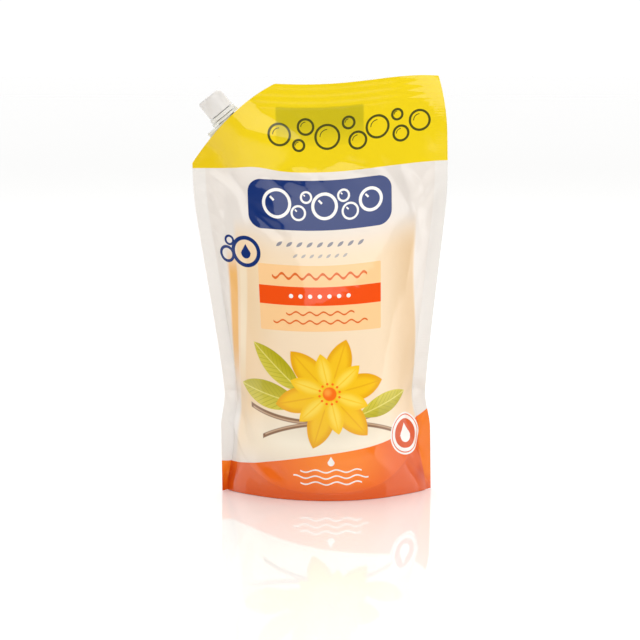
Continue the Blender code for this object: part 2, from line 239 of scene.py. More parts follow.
@dataclass(frozen=True)
class FilmPattern:
    """The flat film, in metres, and how it stands once it is filled: the solid pouch's own sizes."""

    width: float = 160 * MM
    height: float = 262.5 * MM
    side_seal: float = 8 * MM
    thickness: float = 0.6 * MM
    cut_width: float = 52.8 * MM
    cut_drop: float = 51.6 * MM
    cut_bow: float = 4 * MM
    fill_top: float = 189.5 * MM
    fill_fade: float = 7 * MM
    fullest_height: float = 62 * MM
    fullest_angle: float = math.radians(71)
    base_angle: float = math.radians(62.7)
    base_blend: float = 24 * MM
    edge_dip: float = 5 * MM
    edge_tilt: float = math.radians(1.8)
    lean: float = math.radians(1.2)
    skirt_wall: float = 0.7 * MM
    skirt_height: float = 5 * MM
    gusset_rise: float = 40 * MM
    gusset_flat_length: float = 46 * MM
    gusset_flat_width: float = 36 * MM
    groove_power: float = 2.5
    gusset_ease: float = 0.1 * MM
    gusset_end_width: float = 2.4 * MM
    spout_share: float = 0.48
    boat_length: float = 31 * MM
    boat_thickness: float = 13.4 * MM
    boat_depth: float = 12 * MM
    boat_gap: float = 0.3 * MM
    flare_margin: float = 4 * MM
    flare_spread: float = 1 / 3
    flare_fade: float = 44 * MM

    @property
    def half_width(self) -> float:
        """Half of the flat film's width."""
        return self.width / 2

    @property
    def half_panel(self) -> float:
        """Half of the width between the side seals."""
        return self.half_width - self.side_seal

    @property
    def cut_foot(self) -> float:
        """Height where the corner cut meets the side edge."""
        return self.height - self.cut_drop

    @property
    def cut_chord(self) -> float:
        """Length of the corner cut."""
        return math.hypot(self.cut_width, self.cut_drop)

    @property
    def cut_along(self) -> np.ndarray:
        """Direction of the corner cut in the pattern."""
        return np.array([self.cut_width, self.cut_drop]) / self.cut_chord

    @property
    def cut_out(self) -> np.ndarray:
        """Direction out of the film across the corner cut."""
        along = self.cut_along
        return np.array([-along[1], along[0]])

    def bow_at(self, share: np.ndarray) -> np.ndarray:
        """How far the cut edge stands out from its chord, at this share of the chord."""
        return self.cut_bow * 4 * share * (1 - share)

    def top_of(self, across: np.ndarray) -> np.ndarray:
        """Height of the pattern's upper edge.

        Args:
            across: places across the film in metres.

        Returns:
            The edge's height at each place.
        """
        share = np.clip((across + self.half_width) / self.cut_width, 0, 1)
        bow = self.bow_at(share) / self.cut_out[1]
        return np.minimum(self.cut_foot + self.cut_drop * share + bow, self.height)

    def base_seal(self, across: np.ndarray) -> np.ndarray:
        """Height of the curved seal that joins each panel to the gusset."""
        share = np.clip(np.abs(across) / self.half_panel, 0, 1)
        return self.skirt_height + (self.gusset_rise - self.skirt_height) * share**3

    def fill_angle(self, across: np.ndarray, up: np.ndarray) -> np.ndarray:
        """Half of the angle that a panel's section turns through.

        Args:
            across: places across the film in metres.
            up: places up the film in metres.

        Returns:
            The angle in radians.
        """
        fade = self.fill_fade
        above = fade * np.logaddexp(0, (up - self.fullest_height) / fade)
        head = self.fill_top - self.fullest_height - above
        head = fade * np.logaddexp(0, head / fade)
        full = self.fullest_angle * np.sqrt(head / (self.fill_top - self.fullest_height))
        above_seal = smoothstep((up - self.base_seal(across)) / self.base_blend)
        return self.base_angle + (full - self.base_angle) * above_seal

    def spout_place(self) -> np.ndarray:
        """Find where the spout's axis crosses the cut edge.

        Returns:
            The point of the pattern in metres.
        """
        foot = np.array([-self.half_width, self.cut_foot])
        along = self.cut_along * self.cut_chord * self.spout_share
        return foot + along + self.cut_out * self.bow_at(self.spout_share)

    def spout_flare(self, across: np.ndarray, up: np.ndarray) -> np.ndarray:
        """How far the welded boat pushes each panel out.

        Args:
            across: places across the film in metres.
            up: places up the film in metres.

        Returns:
            The distance from the plane of the seals in metres.
        """
        from_spout = np.stack([across, up], axis=-1) - self.spout_place()
        along = from_spout @ self.cut_along
        past_boat = np.maximum(-(from_spout @ self.cut_out) - self.boat_depth, 0)
        reach = self.boat_length / 2 + self.flare_margin + past_boat * self.flare_spread
        bulge = self.boat_thickness / 2 + self.boat_gap + self.thickness / 2
        eye = np.maximum(1 - (along / reach) ** 2, 0)
        return bulge * eye * (1 - smoothstep(past_boat / self.flare_fade))

    def bulge(self, across: np.ndarray, up: np.ndarray) -> np.ndarray:
        """How far a filled panel stands out from the plane of the side seals.

        Args:
            across: places across the film in metres.
            up: places up the film in metres.

        Returns:
            The distance in metres.
        """
        angle = self.fill_angle(across, up)
        on_panel = np.clip(across, -self.half_panel, self.half_panel)
        turn = angle * on_panel / self.half_panel
        body = self.half_panel / angle * (np.cos(turn) - np.cos(angle))
        return np.hypot(body, self.spout_flare(across, up))

    def place(self, across: np.ndarray, up: np.ndarray, side: Side) -> np.ndarray:
        """Place points of the flat pattern on the standing pouch.

        Args:
            across: places across the film in metres, 0 in the middle.
            up: places up the film in metres.
            side: the panel.

        Returns:
            The points, not yet centred on the frame's origin.
        """
        angle = self.fill_angle(across, up)
        on_panel = np.clip(across, -self.half_panel, self.half_panel)
        turn = angle * on_panel / self.half_panel
        high = smoothstep((up - self.fullest_height) / (self.fill_top - self.fullest_height))
        flat_x = self.half_panel / angle * np.sin(turn) + across - on_panel
        dip = self.edge_dip * np.cos(math.pi / 2 * np.clip(across / self.half_width, -1, 1)) ** 2
        x = flat_x - math.tan(self.lean) * up
        y = side.value * (self.thickness / 2 + self.bulge(across, up))
        z = up + high * (flat_x * math.tan(self.edge_tilt) - dip)
        return np.stack([x, y, z], axis=-1)


@dataclass(frozen=True)
class Crease:
    """A straight fold between two places of the pattern, all in millimetres."""

    start: tuple[float, float]
    end: tuple[float, float]
    height: float
    left: float
    right: float
    power: float = 2.0
    round_off: float = 0.7

    def relief(self, across: np.ndarray, up: np.ndarray) -> np.ndarray:
        """How far the fold stands out: a sharp line between two flanks, flat where power is 1.

        Args:
            across: places across the film in mm.
            up: places up the film in mm.

        Returns:
            The relief in mm.
        """
        run = np.subtract(self.end, self.start)
        span = float(np.hypot(*run))
        ahead = run / span
        off_x, off_y = across - self.start[0], up - self.start[1]
        along = (off_x * ahead[0] + off_y * ahead[1]) / span
        beside = off_x * ahead[1] - off_y * ahead[0]
        width = np.where(beside > 0, self.right, self.left)
        near = np.sqrt(beside**2 + self.round_off**2) - self.round_off
        slope = np.maximum(1 - near / width, 0) ** self.power
        ends = smoothstep(2.5 * np.minimum(along, 1 - along))
        return self.height * slope * ends


FRONT_CREASES = (
    Crease((-50, 232), (-38, 204), 1.9, 8, 12),
    Crease((-62, 216), (-44, 186), -1.7, 9, 9),
    Crease((-73, 214), (-57, 150), 1.5, 8, 12),
    Crease((-58, 202), (-66, 148), -1.0, 7, 7),
    Crease((-44, 216), (-14, 186), -1.7, 9, 8),
    Crease((-34, 208), (-24, 168), 1.6, 7, 12),
    Crease((-50, 188), (-18, 164), -1.4, 8, 8),
    Crease((-22, 210), (2, 190), 1.0, 9, 8),
    Crease((-4, 206), (10, 188), -0.8, 7, 8),
    Crease((48, 214), (70, 146), 1.8, 10, 9),
    Crease((34, 220), (60, 172), -1.4, 10, 10),
    Crease((77, 200), (60, 146), -1.2, 8, 8),
    Crease((8, 216), (38, 206), -0.8, 7, 7),
    Crease((66, 232), (74, 212), 0.35, 7, 7),
    Crease((-26, 205), (0, 195), -1.5, 6, 7, 1.1),
    Crease((-48, 184), (-18, 175), 1.4, 6, 7, 1.1),
    Crease((16, 207), (40, 199), -1.0, 5, 6, 1.2),
    Crease((-75, 176), (-64, 118), -0.9, 5, 6),
    Crease((74, 176), (64, 112), -0.9, 6, 5),
    Crease((-71, 206), (-51, 190), 1.2, 4, 6, 1.2),
    Crease((-77, 197), (-60, 176), -1.1, 4, 5, 1.2),
    Crease((-55, 202), (-48, 168), 1.1, 3.5, 6, 1.2),
    Crease((-73, 172), (-60, 158), 0.9, 4, 5, 1.2),
    Crease((50, 206), (67, 184), 1.2, 4, 6, 1.2),
    Crease((75, 204), (58, 178), -1.1, 4, 5, 1.2),
    Crease((60, 186), (68, 150), 1.0, 4, 6, 1.2),
    Crease((-58, 186), (-50, 140), 0.9, 8, 9),
    Crease((-70, 140), (-66, 96), 0.8, 8, 7),
    Crease((60, 168), (56, 120), 0.8, 8, 9),
    Crease((-66, 58), (-54, 26), -1.1, 8, 8),
    Crease((-74, 52), (-68, 30), 0.9, 6, 6),
    Crease((-58, 50), (-44, 30), 0.8, 8, 9),
    Crease((70, 56), (60, 30), -1.0, 8, 8),
    Crease((76, 50), (72, 26), 0.9, 6, 6),
    Crease((-84, 67), (-56, 60), -2.6, 10, 9),
    Crease((-80, 86), (-60, 74), 1.2, 7, 6),
    Crease((84, 68), (57, 62), -2.4, 10, 9),
    Crease((80, 86), (61, 75), 1.2, 7, 6),
    Crease((-62, 120), (-70, 78), 0.8, 9, 8),
    Crease((64, 128), (72, 84), 0.8, 8, 9),
    Crease((-64, 24), (-81, -2), -1.6, 8, 8),
    Crease((-71, 16), (-76, 2), 1.2, 4, 3),
    Crease((-79, 13), (-67, 4), -0.9, 4, 3),
    Crease((56, 26), (81, -2), -1.6, 8, 8),
    Crease((-58, 27), (-30, 6), 1.3, 9, 10),
    Crease((-44, 24), (-22, 10), -1.3, 6, 7),
    Crease((-16, 27), (8, 6), 1.1, 9, 9),
    Crease((8, 22), (34, 9), -0.9, 8, 8),
    Crease((22, 36), (50, 10), 1.3, 9, 10),
    Crease((44, 48), (64, 20), -1.3, 8, 8),
    Crease((60, 44), (74, 14), 1.2, 7, 7),
)


@dataclass(frozen=True)
class Waves:
    """Soft low waves in the film, as a sum of sines whose directions and phases are seeded."""

    count: int = 7
    shortest: float = 34.0
    longest: float = 90.0
    height: float = 0.16
    seed: int = 11

    def relief(self, across: np.ndarray, up: np.ndarray) -> np.ndarray:
        """How far the waves stand out.

        Args:
            across: places across the film in mm.
            up: places up the film in mm.

        Returns:
            The relief in mm.
        """
        draw = np.random.default_rng(self.seed)
        total = np.zeros(np.broadcast(across, up).shape)
        for _ in range(self.count):
            wavelength = draw.uniform(self.shortest, self.longest)
            heading = draw.uniform(0, math.pi)
            phase = draw.uniform(0, 2 * math.pi)
            along = across * math.cos(heading) + up * math.sin(heading)
            total = total + np.sin(2 * math.pi * along / wavelength + phase) * wavelength / self.longest
        return self.height * total


@dataclass(frozen=True)
class EdgeWave:
    """A sine along a sealed edge: its length per radian in metres, its phase and its share."""

    length: float
    phase: float
    share: float

    def at(self, place: np.ndarray) -> np.ndarray:
        """Height of the sine at places along the edge."""
        return self.share * np.sin(place / self.length + self.phase)


TOP_WAVES = (EdgeWave(26 * MM, 0.8, 1.0), EdgeWave(11 * MM, 2.1, 0.6))
SIDE_WAVES = (EdgeWave(17 * MM, 1.3, 0.7), EdgeWave(41 * MM, 0.0, 1.0))


@dataclass
class FilmPouch:
    """The sealed film pouch: two printed panels, their heat seals and the folded base."""

    pattern: FilmPattern = field(default_factory=FilmPattern)
    columns: int = 160
    lower_rows: int = 196
    upper_rows: int = 58
    gusset_steps: int = 24
    wall_steps: int = 8
    full_relief_bulge: float = 6 * MM
    spout_keeps_flat: float = 3.0
    wave_seed: int = 11
    corner_start: float = 0.45
    corner_foot: float = 0.85
    corner_back: float = 9 * MM
    corner_in: float = 4.6 * MM
    corner_down: float = 2.4 * MM
    seal_wave: float = 0.9 * MM
    top_wave_start: float = 20 * MM
    top_wave_blend: float = 40 * MM
    side_wave_start: float = 0.85
    side_wave_blend: float = 0.25
    side_wave_foot: float = 30 * MM
    spout_stills_waves: float = 4.0
    seam_pull: float = 4.6 * MM
    seam_pull_height: float = 34 * MM
    seam_pull_start: float = 0.62
    foot_turn: float = 4.5 * MM
    least_spread: float = 0.3
    smooth_angle: float = math.radians(50)

    def build(self) -> bpy.types.Object:
        """Loft the closed pouch, map it and dress it.

        Returns:
            The finished piece, riding on the pack.
        """
        across, up = self.grid()
        front = self.panel(across, up, Side.FRONT)
        back = self.panel(across, up, Side.BACK)
        low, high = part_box("pouch")
        shift = np.array([(low.x + high.x) / 2 - self.solid_middle(), 0, 0])
        piece = self.mesh_of(front + shift, back + shift, across, up)
        piece.data.materials.append(LaminateFilm("laminate_film_front", Side.FRONT).build())
        piece.data.materials.append(LaminateFilm("laminate_film_back", Side.BACK).build())
        piece.data.materials.append(GussetFilm().build())
        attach(piece, "pack")
        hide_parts("pouch")
        return piece

    def grid(self) -> tuple[np.ndarray, np.ndarray]:
        """Lay a grid over the pattern, as rows from the base to the upper edge.

        Returns:
            The places across and up in metres, by rows and columns.
        """
        film = self.pattern
        columns = np.linspace(-film.half_width, film.half_width, self.columns + 1)
        plain_top = film.cut_foot - film.side_seal
        lower = np.linspace(0, plain_top, self.lower_rows + 1)
        shares = np.linspace(0, 1, self.upper_rows + 1)[1:]
        upper = plain_top + (film.top_of(columns) - plain_top) * shares[:, None]
        up = np.concatenate([np.repeat(lower[:, None], len(columns), axis=1), upper])
        return np.broadcast_to(columns, up.shape), up

    def solid_middle(self) -> float:
        """Find the middle of the undented pouch's outline.

        Returns:
            Its x in metres.
        """
        across, up = self.grid()
        x = self.pattern.place(across, up, Side.FRONT)[..., 0]
        return float(x.min() + x.max()) / 2

    def panel(self, across: np.ndarray, up: np.ndarray, side: Side) -> np.ndarray:
        """Place one panel with its folds, waves and bent corner.

        Args:
            across: places across the film in metres.
            up: places up the film in metres.
            side: the panel.

        Returns:
            Its points, before it is centred.
        """
        film = self.pattern
        points = film.place(across, up, side)
        fullness = smoothstep(film.bulge(across, up) / self.full_relief_bulge)
        near_spout = film.spout_flare(across, up) / film.boat_thickness
        free = 1 - smoothstep(near_spout * self.spout_keeps_flat)
        shared = self.folds(across, up, Side.FRONT)
        own = self.folds(across, up, side)
        points[..., 1] += side.value * own * fullness * free
        points[..., 1] -= shared * (1 - fullness) * free
        return points + self.bend(across, up)

    def folds(self, across: np.ndarray, up: np.ndarray, side: Side) -> np.ndarray:
        """How far a panel's folds and waves stand out.

        Args:
            across: places across the film in metres.
            up: places up the film in metres.
            side: the panel. The back's folds mirror the front's.

        Returns:
            The relief in metres.
        """
        flank = 1 if side is Side.FRONT else -1
        mm_across, mm_up = across * flank / MM, up / MM
        relief = sum(crease.relief(mm_across, mm_up) for crease in FRONT_CREASES)
        waves = Waves(seed=self.wave_seed + side.value)
        return (relief + waves.relief(mm_across, mm_up)) * MM

    def bend(self, across: np.ndarray, up: np.ndarray) -> np.ndarray:
        """Bend both panels alike.

        The seals wave, the top corner curls back, and near the ground the opened gusset pulls the
        side seams outwards, so that the seals turn edge on.

        Args:
            across: places across the film in metres.
            up: places up the film in metres.

        Returns:
            The shift of each point in metres.
        """
        film = self.pattern
        off_middle = np.abs(across)
        corner = (across / film.half_width - self.corner_start) / (1 - self.corner_start)
        height = (up / film.height - self.corner_foot) / (1 - self.corner_foot)
        corner = (np.clip(corner, 0, 1) * np.clip(height, 0, 1)) ** 2
        top = smoothstep((up - film.fill_top - self.top_wave_start) / self.top_wave_blend)
        edge = smoothstep((off_middle / film.half_panel - self.side_wave_start) / self.side_wave_blend)
        wave = sum(sine.at(across) for sine in TOP_WAVES)
        side_wave = sum(sine.at(up) for sine in SIDE_WAVES) * smoothstep(up / self.side_wave_foot)
        flare = film.spout_flare(across, up) / film.boat_thickness
        sway = self.seal_wave * (top * wave + edge * side_wave)
        sway = sway * (1 - smoothstep(flare * self.spout_stills_waves))
        on_seal = np.clip((off_middle - film.half_panel) / film.side_seal, 0, 1)
        start = self.seam_pull_start
        near_seam = smoothstep((off_middle / film.half_panel - start) / (1 - start))
        low = 1 - smoothstep(up / self.seam_pull_height)
        side = np.sign(across)
        x = side * self.seam_pull * near_seam * (1 - on_seal) * low - self.corner_in * corner
        y = self.corner_back * corner + sway + side * self.foot_turn * on_seal * low
        z = -self.corner_down * corner
        return np.stack([x, y, z], axis=-1)

    def at_heights(self, panel: np.ndarray, heights: np.ndarray) -> np.ndarray:
        """Find where a panel stands at one height for each column.

        Args:
            panel: the panel's points, by rows and columns.
            heights: a height for each column.

        Returns:
            The x and y of each column.
        """
        places = [
            [np.interp(height, panel[:, column, 2], panel[:, column, axis]) for axis in (0, 1)]
            for column, height in enumerate(heights)
        ]
        return np.array(places)

    def gusset(self, front: np.ndarray, back: np.ndarray, across: np.ndarray) -> np.ndarray:
        """The base film's underside, from the front skirt to the back one, as steps by columns.

        It rests on the ground in the middle, folds up towards the side seals, and stays between
        the two panels.

        Args:
            front: the front panel's points, by rows and columns.
            back: the back panel's points.
            across: the pattern's places across.

        Returns:
            The points, by steps and columns.
        """
        film = self.pattern
        depth = (back[0, :, 1] - front[0, :, 1]) / 2
        wall = depth - film.skirt_wall
        inside = wall > film.gusset_end_width / 2
        reach = np.abs(across[inside]).max()
        share = np.clip(np.abs(across) / reach, 0, 1)
        flat_reach = film.gusset_flat_length / 2 / reach
        fullest = (film.gusset_flat_width / 2 / wall.max()) ** film.groove_power
        past = np.clip((np.abs(across) - reach) / (film.half_width - reach), 0, 1)
        wall_top = np.where(inside, film.base_seal(across), film.gusset_rise * (1 - past))
        sunk = (film.gusset_ease - wall_top * fullest) / (1 - fullest)
        rise = smoothstep((share - flat_reach) / (1 - flat_reach))
        crown = np.where(inside, sunk + (film.gusset_rise - sunk) * rise, wall_top)
        climb = np.linspace(0, 1, self.wall_steps + 1)[:-1]
        rows = [(-1.0, wall_top * part) for part in climb]
        for turn in np.linspace(-1, 1, self.gusset_steps - 1):
            height = crown + (wall_top - crown) * abs(turn) ** film.groove_power
            rows.append((turn, np.where(inside, np.maximum(height, film.gusset_ease), height)))
        rows += [(1.0, wall_top * part) for part in climb[::-1]]
        sheet = np.empty((len(rows), len(across), 3))
        for row, (turn, height) in enumerate(rows):
            ahead = self.at_heights(front, height)
            behind = self.at_heights(back, height)
            middle = (ahead + behind) / 2
            half_gap = (behind - ahead)[:, 1] / 2
            least = half_gap * self.least_spread
            room = np.minimum(wall, np.maximum(half_gap - film.skirt_wall, least))
            sheet[row, :, 0] = middle[:, 0]
            sheet[row, :, 1] = middle[:, 1] + turn * np.where(inside, room, least)
            sheet[row, :, 2] = height
        return sheet

    def mesh_of(
        self, front: np.ndarray, back: np.ndarray, across: np.ndarray, up: np.ndarray
    ) -> bpy.types.Object:
        """Join the two panels, their rims and the base film into one closed mesh.

        Args:
            front: the front panel's points, by rows and columns.
            back: the back panel's points.
            across: the pattern's places across, for the print.
            up: the pattern's places up.

        Returns:
            The pouch's object with its film map in millimetres.
        """
        rows, columns = up.shape
        base = self.gusset(front, back, across[0])
        steps = len(base)
        panel = np.arange(rows * columns).reshape(rows, columns)
        ahead, behind = panel, panel + rows * columns
        below = np.arange(steps * columns).reshape(steps, columns) + 2 * rows * columns
        ring = np.concatenate([behind[:1], below[::-1], ahead[:1]])
        points = np.concatenate([front.reshape(-1, 3), back.reshape(-1, 3), base.reshape(-1, 3)])
        flat = np.stack([across, up], axis=-1).reshape(-1, 2) / MM
        under = np.stack([np.broadcast_to(across[0], (steps, columns)), base[..., 2]], axis=-1)
        flat = np.concatenate([flat, flat, under.reshape(-1, 2) / MM])

        def quads(grid: np.ndarray) -> np.ndarray:
            """The four-sided faces of a grid of point numbers."""
            corners = (grid[:-1, :-1], grid[:-1, 1:], grid[1:, 1:], grid[1:, :-1])
            return np.stack([corner.ravel() for corner in corners], axis=-1)

        faces = [quads(ahead), quads(behind)[:, ::-1], quads(ring)]
        for column, turn in ((0, 1), (columns - 1, -1)):
            rim = np.stack([ahead[1:, column], behind[1:, column]])
            faces.append(quads(rim)[:, ::turn])
        faces.append(quads(np.stack([ahead[-1], behind[-1]])))
        groups = [0, 1, 2, 0, 0, 0]
        ends = [
            [ahead[1, column], *ring[::-1, column].tolist(), behind[1, column]][::turn]
            for column, turn in ((0, 1), (columns - 1, -1))
        ]
        polygons = [face.tolist() for group in faces for face in group]
        polygons += [[int(point) for point in end] for end in ends]
        slots = [np.full(len(group), slot) for group, slot in zip(faces, groups)]
        slots = np.concatenate([*slots, np.zeros(len(ends), int)])
        mesh = bpy.data.meshes.new("film_pouch")
        mesh.from_pydata(points.tolist(), [], polygons)
        mesh.polygons.foreach_set("material_index", slots.astype(np.int32))
        layer = mesh.uv_layers.new(name=FILM_UV)
        loops = np.empty(len(mesh.loops), np.int32)
        mesh.loops.foreach_get("vertex_index", loops)
        layer.data.foreach_set("uv", flat[loops].astype(np.float32).ravel())
        piece = bpy.data.objects.new("film_pouch", mesh)
        bpy.context.scene.collection.objects.link(piece)
        select_only(piece)
        bpy.ops.object.mode_set(mode="EDIT")
        bpy.ops.mesh.select_all(action="SELECT")
        bpy.ops.mesh.normals_make_consistent(inside=False)
        bpy.ops.object.mode_set(mode="OBJECT")
        bpy.ops.object.shade_smooth_by_angle(angle=self.smooth_angle)
        return piece


def select_only(piece: bpy.types.Object) -> None:
    """Deselect everything, then select and activate one object.

    Args:
        piece: the object.
    """
    bpy.ops.object.select_all(action="DESELECT")
    piece.select_set(True)
    bpy.context.view_layer.objects.active = piece


@dataclass(frozen=True)
class Spot:
    """A place of the print, with axes of its own in millimetres, and the outlines drawn about it.

    Each outline is the distance to its edge, negative inside.
    """

    x: Field
    y: Field

    def moved(self, x: float, y: float, degrees: float = 0) -> Spot:
        """Start new axes at another place.

        Args:
            x: the place across.
            y: the place up.
            degrees: how far the new axes are turned, anticlockwise.

        Returns:
            The spot there.
        """
        cos, sin = math.cos(math.radians(degrees)), math.sin(math.radians(degrees))
        across = self.x.scaled(cos, self.y.scaled(sin, -x * cos - y * sin))
        up = self.y.scaled(cos, self.x.scaled(-sin, x * sin - y * cos))
        return Spot(across, up)

    def fanned(self, count: int) -> Spot:
        """Fold the whole turn into sectors.

        Args:
            count: the number of sectors.

        Returns:
            The spot with X along the middle of each sector.
        """
        sector = 2 * math.pi / count
        turn = self.y.apply("ARCTAN2", self.x)
        turn = (turn + sector / 2).apply("FLOORED_MODULO", sector) - sector / 2
        reach = length_of(self.x, self.y)
        return Spot(reach * turn.apply("COSINE"), reach * turn.apply("SINE"))

    def repeated(self, pitch: float) -> Spot:
        """Repeat what is drawn about the spot at a pitch along X."""
        return Spot((self.x + pitch / 2).apply("FLOORED_MODULO", pitch) - pitch / 2, self.y)

    def disc(self, radius: float) -> Field:
        """A round spot."""
        return length_of(self.x, self.y) - radius

    def ring(self, radius: float, width: float) -> Field:
        """A round line."""
        return abs(self.disc(radius)) - width / 2

    def box(self, half_width: float, half_height: float, corner: float) -> Field:
        """A box with rounded corners.

        Args:
            half_width: half of its width.
            half_height: half of its height.
            corner: radius of its corners.

        Returns:
            The distance to its edge.
        """
        x = abs(self.x) - (half_width - corner)
        y = abs(self.y) - (half_height - corner)
        outer = length_of(x.most(0.0), y.most(0.0))
        return outer + x.most(y).least(0.0) - corner

    def leaf(self, half_length: float, half_width: float) -> Field:
        """A pointed oval along X, between two arcs."""
        radius = (half_length**2 + half_width**2) / (2 * half_width)
        return length_of(self.x, abs(self.y) + (radius - half_width)) - radius

    def wave(self, half_length: float, length: float, height: float, width: float) -> Field:
        """A wavy line along X.

        Args:
            half_length: half of the whole line.
            length: length of one wave.
            height: how far a crest stands off X.
            width: width of the line.

        Returns:
            The distance to its edge.
        """
        crest = (self.x * (2 * math.pi / length)).apply("SINE") * height
        line = abs(self.y - crest) - width / 2
        return line.most(abs(self.x) - half_length)

    def drop(self, radius: float) -> Field:
        """A drop with its point upwards."""
        cone = abs(self.x).scaled(0.86, self.y * 0.5) - radius * 0.95
        return self.disc(radius).least(cone.most(-self.y))


class Artwork:
    """Inks laid one over another on the film's map."""

    def __init__(self, spot: Spot, colour: bpy.types.NodeSocket | tuple) -> None:
        """Start from the bare film's colour."""
        self.spot = spot
        self.colour = colour

    def tint(self, mask: Field, ink: str) -> None:
        """Lay an ink where a mask is 1, thinner where it is less."""
        self.colour = overprint(mask, self.colour, ink)

    def lay(self, shape: Field, ink: str, soft: float = 0.15) -> None:
        """Lay a solid ink inside an outline."""
        self.tint(shape.inside(soft), ink)


@dataclass(frozen=True)
class Bubble:
    """A ring of foam in the print: its place and radius in millimetres."""

    x: float
    y: float
    radius: float


@dataclass(frozen=True)
class MarkRow:
    """A row of small leaf marks: its height, pitch, half length, reach and ink."""

    up: float
    pitch: float
    size: float
    reach: float
    ink: str


@dataclass(frozen=True)
class WavyLine:
    """A wavy line of the print: its height, reach and width in millimetres."""

    up: float
    reach: float
    width: float


@dataclass(frozen=True)
class Leaf:
    """A green leaf: its place, turn in degrees, half length and half width."""

    x: float
    y: float
    degrees: float
    length: float
    width: float


@dataclass(frozen=True)
class Pod:
    """A bent brown pod: the middle and radius of its arc, and its thickness."""

    x: float
    y: float
    radius: float
    width: float


@dataclass(frozen=True)
class PetalRing:
    """Six petals: their turn in degrees, half length, half width, edge ink and inner ink."""

    turn: float
    reach: float
    width: float
    edge: str
    inner: str


PLAQUE_FOAM = (
    Bubble(-27, 1, 8.2),
    Bubble(-13.5, -4.5, 4.2),
    Bubble(-8.5, 5.0, 3.2),
    Bubble(3, -0.5, 7.4),
    Bubble(15, 5.5, 3.4),
    Bubble(19, -4.2, 4.8),
    Bubble(32, 1.5, 6.6),
)
HEAD_FOAM = (
    Bubble(-25, 231, 6.6),
    Bubble(-13, 224.5, 3.4),
    Bubble(-8.5, 236, 4.8),
    Bubble(5, 229.5, 7.4),
    Bubble(18.5, 237.5, 3.6),
    Bubble(24, 226, 5.2),
    Bubble(36.5, 233, 6.8),
    Bubble(49, 239, 3.2),
    Bubble(51, 227, 4.6),
    Bubble(63, 234, 6.2),
)
MARK_ROWS = (MarkRow(163.4, 6.4, 2.5, 28.8, "#8D8B92"), MarkRow(156.2, 5.2, 1.9, 18.2, "#B5AEAA"))
PANEL_LINES = (WavyLine(14.2, 30.1, 1.7), WavyLine(-9.6, 21.5, 1.1), WavyLine(-15.2, 30.1, 1.1))
FOOT_LINES = (WavyLine(0.8, 19.5, 0.95), WavyLine(-3.2, 24, 0.95), WavyLine(-7.2, 19.5, 0.95))
LEAVES = (Leaf(-38, 66, 168, 24, 8.5), Leaf(-31, 84, 138, 22, 7.5), Leaf(40, 60, 18, 20, 6.5))
PODS = (Pod(-4, 201, 151, 3.0), Pod(6, -66, 116, 2.6))
PETALS = (
    PetalRing(0, 17.5, 8.2, "#E8A608", "#F6C417"),
    PetalRing(30, 12.5, 5.6, "#F6C417", "#FCDB55"),
)


